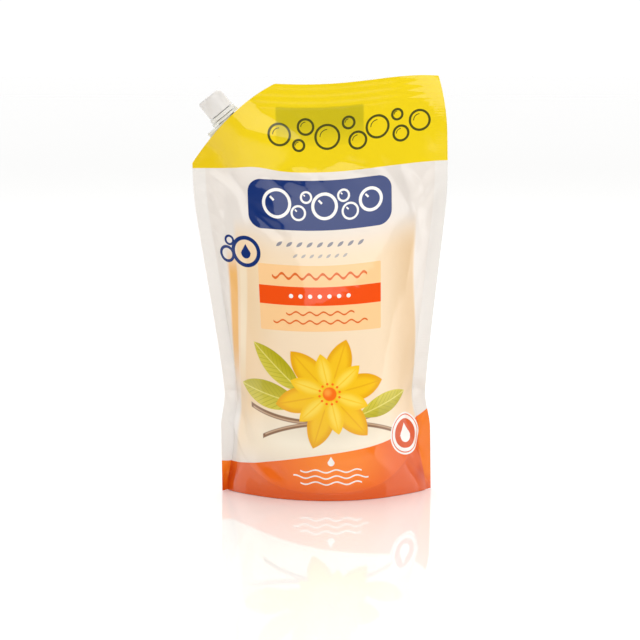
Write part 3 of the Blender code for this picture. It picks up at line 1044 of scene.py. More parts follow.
@dataclass(frozen=True)
class LaminateFilm:
    """Polypropylene on polyethylene, reverse printed: a clear gloss over inks and a milky web.

    The head is yellow and the foot orange on both panels. The front has a plaque, a ribbon, a
    blossom and small round marks, and the back's label is left bare. The web and the foot carry
    painted light and painted shade, and the front's head a patch of painted shade.
    """

    name: str
    side: Side
    milk: str = "#E6DED6"
    painted_light_web: str = "#F5EFE9"
    seal_white: str = "#EBE7E2"
    yellow: str = "#EDCF06"
    yellow_deep: str = "#DDB602"
    shaded_yellow: str = "#BDAE08"
    olive: str = "#4A4A12"
    navy: str = "#0A2C6E"
    orange: str = "#F26C14"
    painted_shade_orange: str = "#D64C12"
    pressed_seal_and_shade_orange: str = "#C23A0A"
    bright_orange: str = "#FC8A25"
    line_orange: str = "#E06A28"
    badge_ring: str = "#E05A1E"
    badge_orange: str = "#D9541C"
    cream: str = "#F4DCBC"
    painted_shade_peach: str = "#EBC897"
    tan: str = "#CBA980"
    amber: str = "#EDB466"
    warm_white: str = "#F8F0DC"
    pale_orange: str = "#FACB92"
    ribbon: str = "#F04E02"
    white: str = "#F6F3EE"
    soft_shadow: str = "#B9A48C"
    leaf: str = "#B4A80C"
    leaf_light: str = "#D3C53C"
    leaf_vein: str = "#A2980A"
    leaf_rib: str = "#E3D86E"
    centre: str = "#F9700C"
    centre_light: str = "#FFA23C"
    brown: str = "#8A6548"
    brown_light: str = "#C7A585"
    seal_inner_edge: float = 72.0
    head_edge: float = 207.6
    roughness: float = 0.42
    specular: float = 0.1
    coat_roughness: float = 0.05
    coat_ior: float = 1.47
    ripple_scale: float = 70.0
    grain_scale: float = 600.0
    seal_line_pitch: float = 4.4
    crimp_pitch: float = 1.6

    def build(self) -> bpy.types.Material:
        """Make the material of one panel.

        Returns:
            The material, whose sharp coat keeps narrow highlights over deep colours.
        """
        made, tree, shader = blank_material(self.name)
        place = add_node(tree, "ShaderNodeUVMap", uv_map=FILM_UV)
        parts = add_node(tree, "ShaderNodeSeparateXYZ", {0: place.outputs[0]})
        spot = Spot(Field(tree, parts.outputs[0]), Field(tree, parts.outputs[1]))
        art = Artwork(spot, linear(self.milk))
        below = (self.web, self.blossom, self.plaque, self.ribbon_panel, self.emblem)
        above = (self.bubbles, self.badge, self.foot_mark)
        if self.side is Side.BACK:
            below, above = (self.web,), ()
        for layer in (*below, self.head, self.foot, *above):
            layer(art)
        tree.links.new(art.colour, shader.inputs["Base Color"])
        shader.inputs["Roughness"].default_value = self.roughness
        shader.inputs["Specular IOR Level"].default_value = self.specular
        shader.inputs["Coat Weight"].default_value = 1.0
        shader.inputs["Coat Roughness"].default_value = self.coat_roughness
        shader.inputs["Coat IOR"].default_value = self.coat_ior
        relief = self.relief(tree, spot)
        tree.links.new(relief, shader.inputs["Normal"])
        tree.links.new(relief, shader.inputs["Coat Normal"])
        return made

    def web(self, art: Artwork) -> None:
        """Tint the milky web, and the cream soap behind its clear middle, with painted light at the
        lower left and in the soap's middle and painted shade on the soap's sides.

        Args:
            art: the print so far.
        """
        across, up = art.spot.x, art.spot.y
        left = across + up.rise(40, 150) * -11.0 + 67.0
        right = -across + up.rise(150, 75) * 10.0 + 61.0
        height = up.rise(180, 152) * up.rise(12, 38)
        clear = left.rise(-1.5, 2.5) * right.rise(-1.0, 1.5) * height
        # Painted light: the web is made lighter towards the lower left corner.
        painted_light_low_left = art.spot.moved(-72, 66).disc(0).rise(60, 10)
        art.tint(painted_light_low_left * 0.75, self.painted_light_web)
        art.tint((abs(across) - self.seal_inner_edge).rise(-0.6, 0.6) * 0.7, self.seal_white)
        stripe_height = up.rise(162, 140) * up.rise(50, 100)
        stripe = left.rise(-8.5, -5.5) * left.rise(1.0, -1.0) * stripe_height
        art.tint(stripe, self.amber)
        art.tint(clear, self.cream)
        # Painted shade: the soap's sides are tinted a darker peach, as if turned away from the light.
        flank = (across.rise(-24, -60) * 0.8).most(across.rise(34, 66) * 0.6) * up.rise(30, 74)
        art.tint(clear * flank, self.painted_shade_peach)
        art.tint(left.rise(0.5, 2.5) * left.rise(8.0, 6.0) * stripe_height * 0.45, self.warm_white)
        # Painted shade: a darker tan over the right side of the soap.
        art.tint(clear * across.rise(36, 60) * up.rise(50, 90) * 0.4, self.tan)
        # Painted light: a pale warm pool in the lower middle of the soap.
        pale = length_of(across * 0.42, up - 36.0).rise(34, 8)
        art.tint(pale * clear * 0.85, self.warm_white)

    def head(self, art: Artwork) -> None:
        """Lay the yellow head, whose lower edge has one low hump, with a patch of painted shade on
        the front near its top.

        Args:
            art: the print so far.
        """
        hump = (art.spot.x + 41.0) * (1 / 13)
        edge = (-(hump * hump)).apply("EXPONENT") * 2.2 + self.head_edge
        art.lay(edge - art.spot.y, self.yellow)
        deeper = art.spot.x.rise(-20, -76) * (edge - art.spot.y).inside()
        art.tint(deeper * 0.5, self.yellow_deep)
        if self.side is Side.FRONT:
            # Painted shade: an olive patch under the upper edge, darkest at its top.
            behind = art.spot.moved(0.5, 236).box(27.5, 12, 1).inside(1.2)
            art.tint(behind * art.spot.y.rise(219, 240) * 0.8, self.shaded_yellow)

    def foot(self, art: Artwork) -> None:
        """Lay the orange foot, whose upper edge climbs to the right, with a painted pool of light in
        its middle and painted shade towards the base, the sides and the lower corners.

        Args:
            art: the print so far.
        """
        across, up = art.spot.x, art.spot.y
        share = across * (1 / 80)
        square = share * share
        slope = square * (square * 11.11 + share * 4.91 - 5.33) + share * 11.78 + 29.95
        foot = up - slope
        art.lay(foot, self.orange)
        inside = foot.inside()
        # Painted light: a brighter orange pool in the middle of the foot.
        glow = length_of(across * 0.5 - 4.0, up - 24.0).rise(24, 3)
        art.tint(glow * inside * 0.85, self.bright_orange)
        # Painted shade: a deeper orange towards the base and towards both sides.
        deep = up.rise(14, 0).most(across.rise(-34, -66) * 0.6).most(across.rise(24, 50) * 0.7)
        art.tint(deep * inside * 0.45, self.painted_shade_orange)
        art.tint(self.base_seal(art.spot).inside(0.8) * inside * 0.25, self.pressed_seal_and_shade_orange)
        # Painted shade: darker orange at both lower corners, where the film folds.
        art.tint(length_of(abs(across) - 69, up - 11).rise(9, 1) * inside * 0.6, self.pressed_seal_and_shade_orange)
        art.tint(abs(across).rise(71.5, 73) * up.rise(2, 12) * inside * 0.7, self.bright_orange)

    def base_seal(self, spot: Spot) -> Field:
        """Outline of the curved seal that joins the panel to the gusset."""
        share = abs(spot.x) * (1 / self.seal_inner_edge)
        return spot.y - share * share * share * 35.0 - 5.0

    def plaque(self, art: Artwork) -> None:
        """Lay the navy plaque with rings of foam, and two rows of small marks below it.

        Args:
            art: the print so far.
        """
        plaque = art.spot.moved(-0.6, 187.4)
        art.lay(plaque.box(45.2, 15.2, 8.5), self.navy)
        for ring in PLAQUE_FOAM:
            bubble = plaque.moved(ring.x, ring.y)
            art.lay(bubble.ring(ring.radius, 1.9 if ring.radius > 5 else 1.3), self.white)
            glint = bubble.moved(-ring.radius * 0.36, ring.radius * 0.36, 45)
            art.lay(glint.box(ring.radius * 0.06 + 0.2, ring.radius * 0.2, 0.2), self.white)
        for row in MARK_ROWS:
            middle = art.spot.moved(-1, row.up)
            mark = middle.repeated(row.pitch).moved(0, 0, 38).leaf(row.size, row.size * 0.4)
            art.lay(mark.most(abs(middle.x) - row.reach), row.ink)

    def ribbon_panel(self, art: Artwork) -> None:
        """Lay the pale panel with the orange ribbon across it.

        Args:
            art: the print so far.
        """
        panel = art.spot.moved(-1.8, 129)
        art.lay(panel.box(39.2, 21.2, 0.8), self.pale_orange)
        ribbon = panel.moved(0, 1.5)
        art.lay(ribbon.box(39.2, 6.0, 0.3), self.ribbon)
        art.lay(ribbon.repeated(6.0).disc(1.35).most(abs(ribbon.x) - 21), self.white)
        for line in PANEL_LINES:
            wave = panel.moved(0, line.up).wave(line.reach, 8.6, line.width * 0.95, line.width)
            art.lay(wave, self.line_orange)

    def emblem(self, art: Artwork) -> None:
        """Lay a navy ring round a drop, with two smaller rings of foam, at the upper left.

        Args:
            art: the print so far.
        """
        emblem = art.spot.moved(-49, 156.5)
        art.lay(emblem.ring(8.8, 2.5), self.navy)
        art.lay(emblem.moved(0, -1.2).drop(3.2), self.navy)
        art.lay(emblem.moved(-13.6, -2.6).ring(4.6, 1.9), self.navy)
        art.lay(emblem.moved(-11, 6.4).ring(2.7, 1.5), self.navy)

    def blossom(self, art: Artwork) -> None:
        """Lay a yellow blossom on its leaves and two brown pods.

        Args:
            art: the print so far.
        """
        shadow = art.spot.moved(2, 46)
        art.tint(length_of(shadow.x * 0.2, shadow.y).rise(12, 1) * 0.25, self.soft_shadow)
        for bent in PODS:
            pod = art.spot.moved(bent.x, bent.y)
            limit = abs(pod.x) - 49
            art.lay(pod.ring(bent.radius, bent.width).most(limit), self.brown, 0.5)
            sheen = pod.ring(bent.radius + 0.5, bent.width * 0.3)
            art.lay(sheen.most(limit + 2.0), self.brown_light, 0.6)
        for green in LEAVES:
            leaf = art.spot.moved(green.x, green.y, green.degrees)
            shape = leaf.leaf(green.length, green.width)
            art.lay(shape, self.leaf, 0.3)
            art.tint(leaf.y.rise(-green.width, green.width) * shape.inside(), self.leaf_light)
            vein = leaf.x.scaled(1.0, abs(leaf.y) * -1.4).apply("FLOORED_MODULO", 4.2) - 2.1
            art.lay((abs(vein) - 0.22).most(shape + 0.6), self.leaf_vein, 0.5)
            art.lay((abs(leaf.y) - 0.35).most(shape), self.leaf_rib, 0.5)
        flower = art.spot.moved(3, 68, 12)
        for ring in PETALS:
            petal = flower.moved(0, 0, ring.turn).fanned(6).moved(ring.reach + 1, 0)
            shape = petal.leaf(ring.reach, ring.width)
            art.lay(shape, ring.edge, 0.4)
            art.tint(shape.rise(-0.3, -4.5) * 0.9, ring.inner)
            art.lay((abs(petal.y) - 0.3).most(shape + 1.5), ring.edge, 0.8)
        stamens = flower.fanned(12).moved(6.4, 0)
        art.lay(stamens.disc(0.8), self.centre, 0.3)
        art.lay(flower.disc(4.3), self.centre, 0.6)
        art.tint(flower.moved(-1, 1.2).disc(0).rise(3.6, 0.5), self.centre_light)

    def bubbles(self, art: Artwork) -> None:
        """Lay foam drawn in dark rings on the yellow head.

        Args:
            art: the print so far.
        """
        for ring in HEAD_FOAM:
            bubble = art.spot.moved(ring.x, ring.y)
            art.lay(bubble.ring(ring.radius, 1.5), self.olive)
            art.lay(bubble.ring(ring.radius * 0.62, 0.55).most(bubble.x).most(-bubble.y), self.olive)

    def badge(self, art: Artwork) -> None:
        """Lay a round white badge with an orange ring and a drop, at the lower right.

        Args:
            art: the print so far.
        """
        badge = art.spot.moved(58.8, 38.5)
        art.lay(badge.disc(13.7), self.white)
        art.lay(badge.ring(12.2, 0.7), self.badge_ring)
        art.lay(badge.disc(9.6), self.badge_orange)
        art.lay(badge.moved(0, -1.4).drop(4.4), self.white)

    def foot_mark(self, art: Artwork) -> None:
        """Lay three white waves and a drop on the orange foot.

        Args:
            art: the print so far.
        """
        mark = art.spot.moved(3, 18.5)
        art.lay(mark.moved(0, 6.2).drop(2.1), self.white)
        for line in FOOT_LINES:
            art.lay(mark.moved(0, line.up).wave(line.reach, 13, 0.9, line.width), self.white)

    def relief(self, tree: bpy.types.NodeTree, spot: Spot) -> bpy.types.NodeSocket:
        """Bump the normal by the laminate's fine ripple and the heat seals' pressed lines.

        Args:
            tree: the material's node tree.
            spot: places of the print in millimetres.

        Returns:
            The bumped normal.
        """
        place = add_node(tree, "ShaderNodeTexCoord").outputs["Object"]
        ripple = add_node(tree, "ShaderNodeTexNoise", {"Vector": place, "Scale": self.ripple_scale})
        grain = add_node(tree, "ShaderNodeTexNoise", {"Vector": place, "Scale": self.grain_scale})
        height = Field(tree, ripple.outputs[0]) * 0.3 + Field(tree, grain.outputs[0]) * 0.012
        lines = (spot.y * (2 * math.pi / self.seal_line_pitch)).apply("SINE")
        crimp = (spot.y * (2 * math.pi / self.crimp_pitch)).apply("SINE")
        height = height + lines * spot.y.rise(246, 248) * 0.035
        height = height + crimp * abs(spot.x).rise(self.seal_inner_edge, 73) * 0.012
        height = height + self.base_seal(spot).inside(2.5) * -0.2
        return add_node(tree, "ShaderNodeBump", {"Height": height.socket, "Distance": MM}).outputs[0]


@dataclass(frozen=True)
class GussetFilm:
    """The base film's underside: the same glossy orange laminate, seen only from below."""

    colour: str = "#E8703A"
    deep_colour: str = "#D4552B"
    cloud_scale: float = 60.0
    roughness: float = 0.35
    coat_roughness: float = 0.06

    def build(self) -> bpy.types.Material:
        """Make the material.

        Returns:
            The material, with soft clouds of a deeper orange below its gloss.
        """
        made, tree, shader = blank_material("laminate_film_base")
        place = add_node(tree, "ShaderNodeTexCoord").outputs["Object"]
        clouds = add_node(tree, "ShaderNodeTexNoise", {"Vector": place, "Scale": self.cloud_scale})
        tone = Field(tree, clouds.outputs[0]).rise(0.3, 0.7) * 0.25
        colour = overprint(tone, linear(self.colour), self.deep_colour)
        tree.links.new(colour, shader.inputs["Base Color"])
        shader.inputs["Roughness"].default_value = self.roughness
        shader.inputs["Coat Weight"].default_value = 1.0
        shader.inputs["Coat Roughness"].default_value = self.coat_roughness
        return made


@dataclass(frozen=True)
class MouldedPlastic:
    """White polyolefin: a milky body that lets a little light in, and a satin moulded skin."""

    name: str
    colour: str
    roughness: float = 0.3
    flow_colour: str = "#D2CDC6"
    flow_scale: float = 120.0
    grain_scale: float = 1600.0
    grain: float = 0.01
    light_depth: float = 0.8 * MM

    def build(self) -> bpy.types.Material:
        """Make the material, with faint flow marks and the grain of the mould's steel.

        Returns:
            The material, soft and slightly warm in its highlights.
        """
        made, tree, shader = blank_material(self.name)
        place = add_node(tree, "ShaderNodeTexCoord").outputs["Object"]
        marks = add_node(tree, "ShaderNodeTexNoise", {"Vector": place, "Scale": self.flow_scale})
        flow = Field(tree, marks.outputs[0])
        tone = flow.rise(0.35, 0.7) * 0.35
        colour = overprint(tone, linear(self.colour), self.flow_colour)
        tree.links.new(colour, shader.inputs["Base Color"])
        gloss = flow * 0.12 + (self.roughness - 0.06)
        tree.links.new(gloss.socket, shader.inputs["Roughness"])
        shader.inputs["IOR"].default_value = 1.5
        shader.inputs["Subsurface Weight"].default_value = 0.2
        shader.inputs["Subsurface Radius"].default_value = (1.0, 0.9, 0.75)
        shader.inputs["Subsurface Scale"].default_value = self.light_depth
        grain = add_node(tree, "ShaderNodeTexNoise", {"Vector": place, "Scale": self.grain_scale})
        height = Field(tree, grain.outputs[0]) * self.grain + flow * 0.03
        bump = add_node(tree, "ShaderNodeBump", {"Height": height.socket, "Distance": MM})
        tree.links.new(bump.outputs[0], shader.inputs["Normal"])
        return made


@dataclass(frozen=True)
class SpoutAxis:
    """The line that the neck, the ring and the cap share, with stations measured along it."""

    origin: tuple[float, float, float] = (-58.06 * MM, 0.0, 235.8 * MM)
    tilt: float = math.radians(-38.801)

    def seat(self, piece: bpy.types.Object) -> None:
        """Turn a piece made about Z onto the axis, and keep its place in its mesh.

        Args:
            piece: the finished mesh, made about the world's Z.
        """
        select_only(piece)
        piece.rotation_euler = (0, self.tilt, 0)
        piece.location = self.origin
        bpy.ops.object.transform_apply(location=True, rotation=True, scale=True)


def arc(
    radius: float, height: float, size: float, first: float, last: float
) -> list[tuple[float, float]]:
    """Round a corner of an outline.

    Args:
        radius: the arc's centre from the axis.
        height: the arc's centre along the axis.
        size: the arc's own radius.
        first: the angle in degrees where it starts.
        last: the angle in degrees where it ends.

    Returns:
        Six points of the arc.
    """
    turns = [math.radians(first + (last - first) * step / 5) for step in range(6)]
    return [(radius + size * math.cos(turn), height + size * math.sin(turn)) for turn in turns]


def turned(name: str, profile: list[tuple[float, float]], steps: int = 96) -> bpy.types.Object:
    """Spin a closed outline about Z.

    Args:
        name: the piece's name.
        profile: (radius, height) points in millimetres, in order round the outline.
        steps: steps of the spin.

    Returns:
        The round solid.
    """
    bpy.ops.object.select_all(action="DESELECT")
    first = (profile[0][0] * MM, 0, profile[0][1] * MM)
    bpy.ops.mesh.primitive_plane_add(size=MM, location=(0, 0, 0))
    piece = bpy.context.object
    piece.name = piece.data.name = name
    bpy.ops.object.mode_set(mode="EDIT")
    bpy.ops.mesh.merge(type="CENTER")
    bpy.ops.transform.translate(value=first)
    for near, far in zip(profile, profile[1:]):
        move = ((far[0] - near[0]) * MM, 0, (far[1] - near[1]) * MM)
        bpy.ops.mesh.extrude_vertices_move(TRANSFORM_OT_translate={"value": move})
    bpy.ops.mesh.select_all(action="SELECT")
    if profile[0][0] > 0:
        close_outline(piece)
    bpy.ops.mesh.spin(steps=steps, angle=2 * math.pi, center=(0, 0, 0), axis=(0, 0, 1))
    bpy.ops.mesh.select_all(action="SELECT")
    bpy.ops.mesh.remove_doubles(threshold=0.002 * MM)
    bpy.ops.mesh.normals_make_consistent(inside=False)
    bpy.ops.object.mode_set(mode="OBJECT")
    return piece


def close_outline(piece: bpy.types.Object) -> None:
    """Join the two loose ends of an outline.

    Args:
        piece: the object with the outline, open in edit mode.
    """
    mesh = bmesh.from_edit_mesh(piece.data)
    ends = [vert for vert in mesh.verts if len(vert.link_edges) == 1]
    mesh.edges.new(ends)
    bmesh.update_edit_mesh(piece.data)
    bpy.ops.mesh.select_all(action="SELECT")


def heal(piece: bpy.types.Object, reach: float = 0.01) -> None:
    """Merge the slivers that cuts and joins leave on a moulding.

    Args:
        piece: the moulding.
        reach: how far apart merged points may be, in mm.
    """
    select_only(piece)
    bpy.ops.object.mode_set(mode="EDIT")
    bpy.ops.mesh.select_all(action="SELECT")
    bpy.ops.mesh.remove_doubles(threshold=reach * MM)
    bpy.ops.mesh.select_all(action="SELECT")
    bpy.ops.mesh.dissolve_degenerate(threshold=reach * MM)
    bpy.ops.mesh.select_all(action="SELECT")
    bpy.ops.mesh.normals_make_consistent(inside=False)
    bpy.ops.object.mode_set(mode="OBJECT")


def soften(piece: bpy.types.Object, width: float = 0.12, segments: int = 2) -> None:
    """Round a moulding's corners.

    Args:
        piece: the moulding.
        width: width of the rounding in mm.
        segments: faces across it.
    """
    select_only(piece)
    step = piece.modifiers.new("soft_edges", "BEVEL")
    step.width = width * MM
    step.segments = segments
    step.limit_method = "ANGLE"
    step.angle_limit = math.radians(38)
    bpy.ops.object.modifier_apply(modifier=step.name)


def shade(piece: bpy.types.Object) -> None:
    """Smooth a moulding's shading, led by its large faces.

    Args:
        piece: the moulding.
    """
    select_only(piece)
    bpy.ops.object.shade_smooth_by_angle(angle=math.radians(40))
    step = piece.modifiers.new("even_normals", "WEIGHTED_NORMAL")
    step.keep_sharp = True
    bpy.ops.object.modifier_apply(modifier=step.name)


def combine(piece: bpy.types.Object, helper: bpy.types.Object, operation: str) -> None:
    """Join a helper to a piece, or cut it from the piece, and remove the helper.

    Args:
        piece: the object that is changed.
        helper: the solid that joins or cuts it.
        operation: the boolean's name.
    """
    select_only(piece)
    step = piece.modifiers.new(helper.name, "BOOLEAN")
    step.operation = operation
    step.solver = "EXACT"
    step.object = helper
    bpy.ops.object.modifier_apply(modifier=step.name)
    bpy.data.objects.remove(helper)


@dataclass(frozen=True)
class Thread:
    """A single-start thread whose turns run out into the wall that carries it, in millimetres."""

    root: float
    tip: float
    start: float
    turns: float
    pitch: float = 4.0
    root_width: float = 1.5
    crest_width: float = 0.8
    sink: float = 0.3
    runout: float = 35.0
    steps: int = 72

    def build(self, name: str) -> bpy.types.Object:
        """Screw the thread's section round its axis and draw its two ends in.

        Args:
            name: the ridge's name.

        Returns:
            A closed helical ridge.
        """
        buried = self.root + math.copysign(self.sink, self.root - self.tip)
        section = [(buried, -self.root_width / 2), (self.tip, -self.crest_width / 2)]
        section += [(self.tip, self.crest_width / 2), (buried, self.root_width / 2)]
        mesh = bpy.data.meshes.new(name)
        points = [(radius * MM, 0, (self.start + height) * MM) for radius, height in section]
        mesh.from_pydata(points, [(0, 1), (1, 2), (2, 3), (3, 0)], [])
        ridge = bpy.data.objects.new(name, mesh)
        bpy.context.scene.collection.objects.link(ridge)
        select_only(ridge)
        step = ridge.modifiers.new("helix", "SCREW")
        step.angle = 2 * math.pi * self.turns
        step.screw_offset = self.pitch * self.turns * MM
        step.steps = step.render_steps = round(self.steps * self.turns)
        step.merge_threshold = 0.0001
        bpy.ops.object.modifier_apply(modifier=step.name)
        self.draw_in(ridge)
        bpy.ops.object.mode_set(mode="EDIT")
        bpy.ops.mesh.select_all(action="SELECT")
        bpy.ops.mesh.fill_holes(sides=4)
        bpy.ops.mesh.select_all(action="SELECT")
        bpy.ops.mesh.normals_make_consistent(inside=False)
        bpy.ops.object.mode_set(mode="OBJECT")
        return ridge

    def draw_in(self, ridge: bpy.types.Object) -> None:
        """Sink the crest towards the root over the runout at either end.

        Args:
            ridge: the helical ridge, open at its ends.
        """
        length = 360 * self.turns
        reach = (self.tip - self.root) * MM
        for vert in ridge.data.vertices:
            radius = vert.co.xy.length
            if abs(radius - self.tip * MM) > 0.01 * MM:
                continue
            lift = vert.co.z / MM - self.start
            gone = np.clip(lift / self.pitch, 0, self.turns) * 360
            near_end = min(gone, length - gone) / self.runout
            share = 1 - float(smoothstep(np.array(near_end + 360 / self.steps / self.runout)))
            scale = (radius - reach * share) / radius
            vert.co.x *= scale
            vert.co.y *= scale


@dataclass
class SpoutMoulding:
    """The welded spout: boat, flange, retaining bead and threaded neck round an open bore.

    All sizes are in millimetres, along and about the spout's axis.
    """

    axis: SpoutAxis
    neck: float = 6.2
    neck_height: float = 16.4
    neck_edge: float = 0.4
    bore: float = 5.0
    bore_edge: float = 0.4
    bore_low: float = -13.0
    bore_high: float = 17.0
    boat_length: float = 31.0
    boat_thickness: float = 13.4
    boat_end: float = 1.2
    boat_depth: float = 12.0
    boat_stand: float = 0.4
    boat_ribs: int = 4
    rib: float = 0.35
    flange_length: float = 19.6
    flange_width: float = 15.4
    flange_height: float = 1.1
    flange_thickness: float = 1.6
    bead: float = 1.1
    bead_top: float = 5.6
    bead_low: float = 1.45
    bead_wall: tuple[float, float] = (0.9, 0.45)
    thread_start: float = 7.5
    thread_height: float = 0.7
    trim_depth: float = 60.0
    groove_place: float = 0.45
    groove_share: float = 0.3

    def build(self) -> bpy.types.Object:
        """Make the spout and dress it.

        Returns:
            The finished piece, riding on the pack.
        """
        piece = turned("spout_moulding", self.neck_profile())
        combine(piece, self.boat(), "UNION")
        combine(piece, self.flange(), "UNION")
        combine(piece, turned("bore", self.bore_profile()), "DIFFERENCE")
        heal(piece)
        soften(piece)
        tip = self.neck + self.thread_height
        ridge = Thread(self.neck, tip, self.thread_start, 2.0).build("neck_thread")
        combine(piece, ridge, "UNION")
        shade(piece)
        self.axis.seat(piece)
        piece.data.materials.append(MouldedPlastic("spout_polyethylene", "#DBDACE", 0.34).build())
        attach(piece, "pack")
        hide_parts("spout")
        return piece

    def neck_profile(self) -> list[tuple[float, float]]:
        """Outline of the neck with its retaining bead.

        Returns:
            Its (radius, height) points.
        """
        bead = self.neck + self.bead
        foot = -self.boat_depth / 2
        edge = self.neck_edge
        profile = [(0, foot), (self.neck, foot), (self.neck, self.bead_top - self.bead_low)]
        profile += [(bead, self.bead_top - below) for below in self.bead_wall]
        profile += [(self.neck, self.bead_top), (self.neck, self.neck_height - edge)]
        return [*profile, (self.neck - edge, self.neck_height), (0, self.neck_height)]

    def bore_profile(self) -> list[tuple[float, float]]:
        """Outline of the open bore, wider at the mouth.

        Returns:
            Its (radius, height) points.
        """
        mouth = self.bore + self.bore_edge
        profile = [(0, self.bore_low), (self.bore, self.bore_low)]
        profile += [(self.bore, self.neck_height - self.bore_edge), (mouth, self.neck_height)]
        return [*profile, (mouth, self.bore_high), (0, self.bore_high)]

    def boat(self) -> bpy.types.Object:
        """The eye-shaped foot that the film is welded to, with weld ribs along it.

        Returns:
            The solid.
        """
        half = self.boat_length / 2
        sag = (self.boat_thickness - self.boat_end) / 2
        radius = (half**2 + sag**2) / (2 * sag)
        offset = radius - self.boat_thickness / 2
        boat = self.slab("boat", (half * 2, self.boat_thickness * 2), -self.boat_depth, self.boat_stand)
        self.trim(boat, radius, offset)
        groove_step = self.boat_depth / self.boat_ribs
        for rib in range(self.boat_ribs):
            middle = -self.boat_depth + (rib + self.groove_place) * groove_step
            groove = self.groove(radius, offset, middle, groove_step * self.groove_share)
            combine(boat, groove, "DIFFERENCE")
        return boat

    def trim(self, piece: bpy.types.Object, radius: float, offset: float) -> None:
        """Trim a piece to the eye that two arcs share.

        Args:
            piece: what is trimmed.
            radius: radius of both arcs.
            offset: distance of their centres from the axis.
        """
        for side in (-1, 1):
            bpy.ops.object.select_all(action="DESELECT")
            place = (0, side * offset * MM, 0)
            bpy.ops.mesh.primitive_cylinder_add(
                vertices=256, radius=radius * MM, depth=self.trim_depth * MM, location=place
            )
            combine(piece, bpy.context.object, "INTERSECT")

    def groove(self, radius: float, offset: float, middle: float, width: float) -> bpy.types.Object:
        """What is cut from the boat between two weld ribs, so that each rib stands out.

        Args:
            radius: radius of the boat's two arcs.
            offset: distance of their centres from the axis.
            middle: the groove's middle along the axis.
            width: the groove's width.

        Returns:
            The solid.
        """
        low, high = middle - width / 2, middle + width / 2
        outer = self.slab("groove", (self.boat_length + 4, self.boat_thickness + 4), low, high)
        size = (self.boat_length - 2 * self.rib, self.boat_thickness * 2)
        inner = self.slab("core", size, low - 1, high + 1)
        self.trim(inner, radius - self.rib, offset)
        combine(outer, inner, "DIFFERENCE")
        return outer

    def slab(self, name: str, size: tuple[float, float], low: float, high: float) -> bpy.types.Object:
        """A box about the axis between two stations.

        Args:
            name: the box's name.
            size: its length and width.
            low: the lower station.
            high: the upper station.

        Returns:
            The box.
        """
        bpy.ops.object.select_all(action="DESELECT")
        bpy.ops.mesh.primitive_cube_add(size=1, location=(0, 0, (low + high) / 2 * MM))
        slab = bpy.context.object
        slab.name = name
        slab.scale = (size[0] * MM, size[1] * MM, (high - low) * MM)
        bpy.ops.object.transform_apply(location=True, scale=True)
        return slab

    def flange(self) -> bpy.types.Object:
        """The round-ended plate that closes the film's edge and that a filling line grips.

        Returns:
            The plate.
        """
        height = self.flange_height + self.flange_thickness / 2
        bpy.ops.object.select_all(action="DESELECT")
        bpy.ops.mesh.primitive_cylinder_add(
            vertices=96,
            radius=self.flange_width / 2 * MM,
            depth=self.flange_thickness * MM,
            location=(0, 0, height * MM),
        )
        plate = bpy.context.object
        plate.name = "flange"
        bpy.ops.object.transform_apply(location=True)
        longer = (self.flange_length - self.flange_width) / 2 * MM
        for vert in plate.data.vertices:
            if abs(vert.co.x) > 0.01 * MM:
                vert.co.x += math.copysign(longer, vert.co.x)
        return plate


@dataclass
class TamperRing:
    """The ring below the cap, with a lip that catches under the neck's bead, in millimetres."""

    axis: SpoutAxis
    outer: float = 9.1
    bore: float = 7.6
    lip: float = 6.5
    lip_wall: float = 0.5
    lip_slope: float = 0.3
    edge: float = 0.3
    low: float = 3.1
    high: float = 5.6

    def build(self) -> bpy.types.Object:
        """Make the ring and dress it.

        Returns:
            The finished piece, riding on the band.
        """
        rim, lip = self.outer - self.edge, self.low + self.lip_wall
        profile = [(self.lip, self.low), (rim, self.low), (self.outer, self.low + self.edge)]
        profile += [(self.outer, self.high - self.edge), (rim, self.high), (self.bore, self.high)]
        profile += [(self.bore, lip + self.lip_slope), (self.lip, lip)]
        piece = turned("tamper_ring", profile)
        soften(piece)
        shade(piece)
        self.axis.seat(piece)
        piece.data.materials.append(MouldedPlastic("ring_polypropylene", "#DDDBD3", 0.32).build())
        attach(piece, "band")
        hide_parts("tamper_band")
        return piece


@dataclass
class CapShell:
    """The screw cap, with an inner thread and a plug that seals the bore, in millimetres."""

    axis: SpoutAxis
    radius: float = 8.55
    draft: float = 0.2
    low: float = 6.0
    length: float = 12.3
    round_off: float = 1.6
    inner: float = 7.2
    ceiling: float = 16.8
    plug: float = 4.7
    plug_wall: float = 1.0
    plug_end: float = 14.4
    thread_start: float = 9.5
    thread_height: float = 0.7

    def build(self) -> bpy.types.Object:
        """Make the cap and dress it.

        Returns:
            The finished piece, riding on the cap's body.
        """
        high = self.low + self.length
        crown = self.radius - self.draft - self.round_off
        profile = [(self.inner, self.low), (self.radius, self.low)]
        profile += arc(crown, high - self.round_off, self.round_off, 0, 90)
        core = self.plug - self.plug_wall
        profile += [(0, high), (0, self.ceiling), (core, self.ceiling)]
        profile += [(core, self.plug_end), (self.plug, self.plug_end)]
        profile += [(self.plug, self.ceiling), (self.inner, self.ceiling)]
        piece = turned("cap_shell", profile)
        soften(piece)
        tip = self.inner - self.thread_height
        ridge = Thread(self.inner, tip, self.thread_start, 1.75).build("cap_thread")
        combine(piece, ridge, "UNION")
        shade(piece)
        self.axis.seat(piece)
        piece.data.materials.append(MouldedPlastic("cap_polypropylene", "#DEDAD5", 0.3).build())
        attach(piece, "screw_cap")
        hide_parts("cap")
        return piece


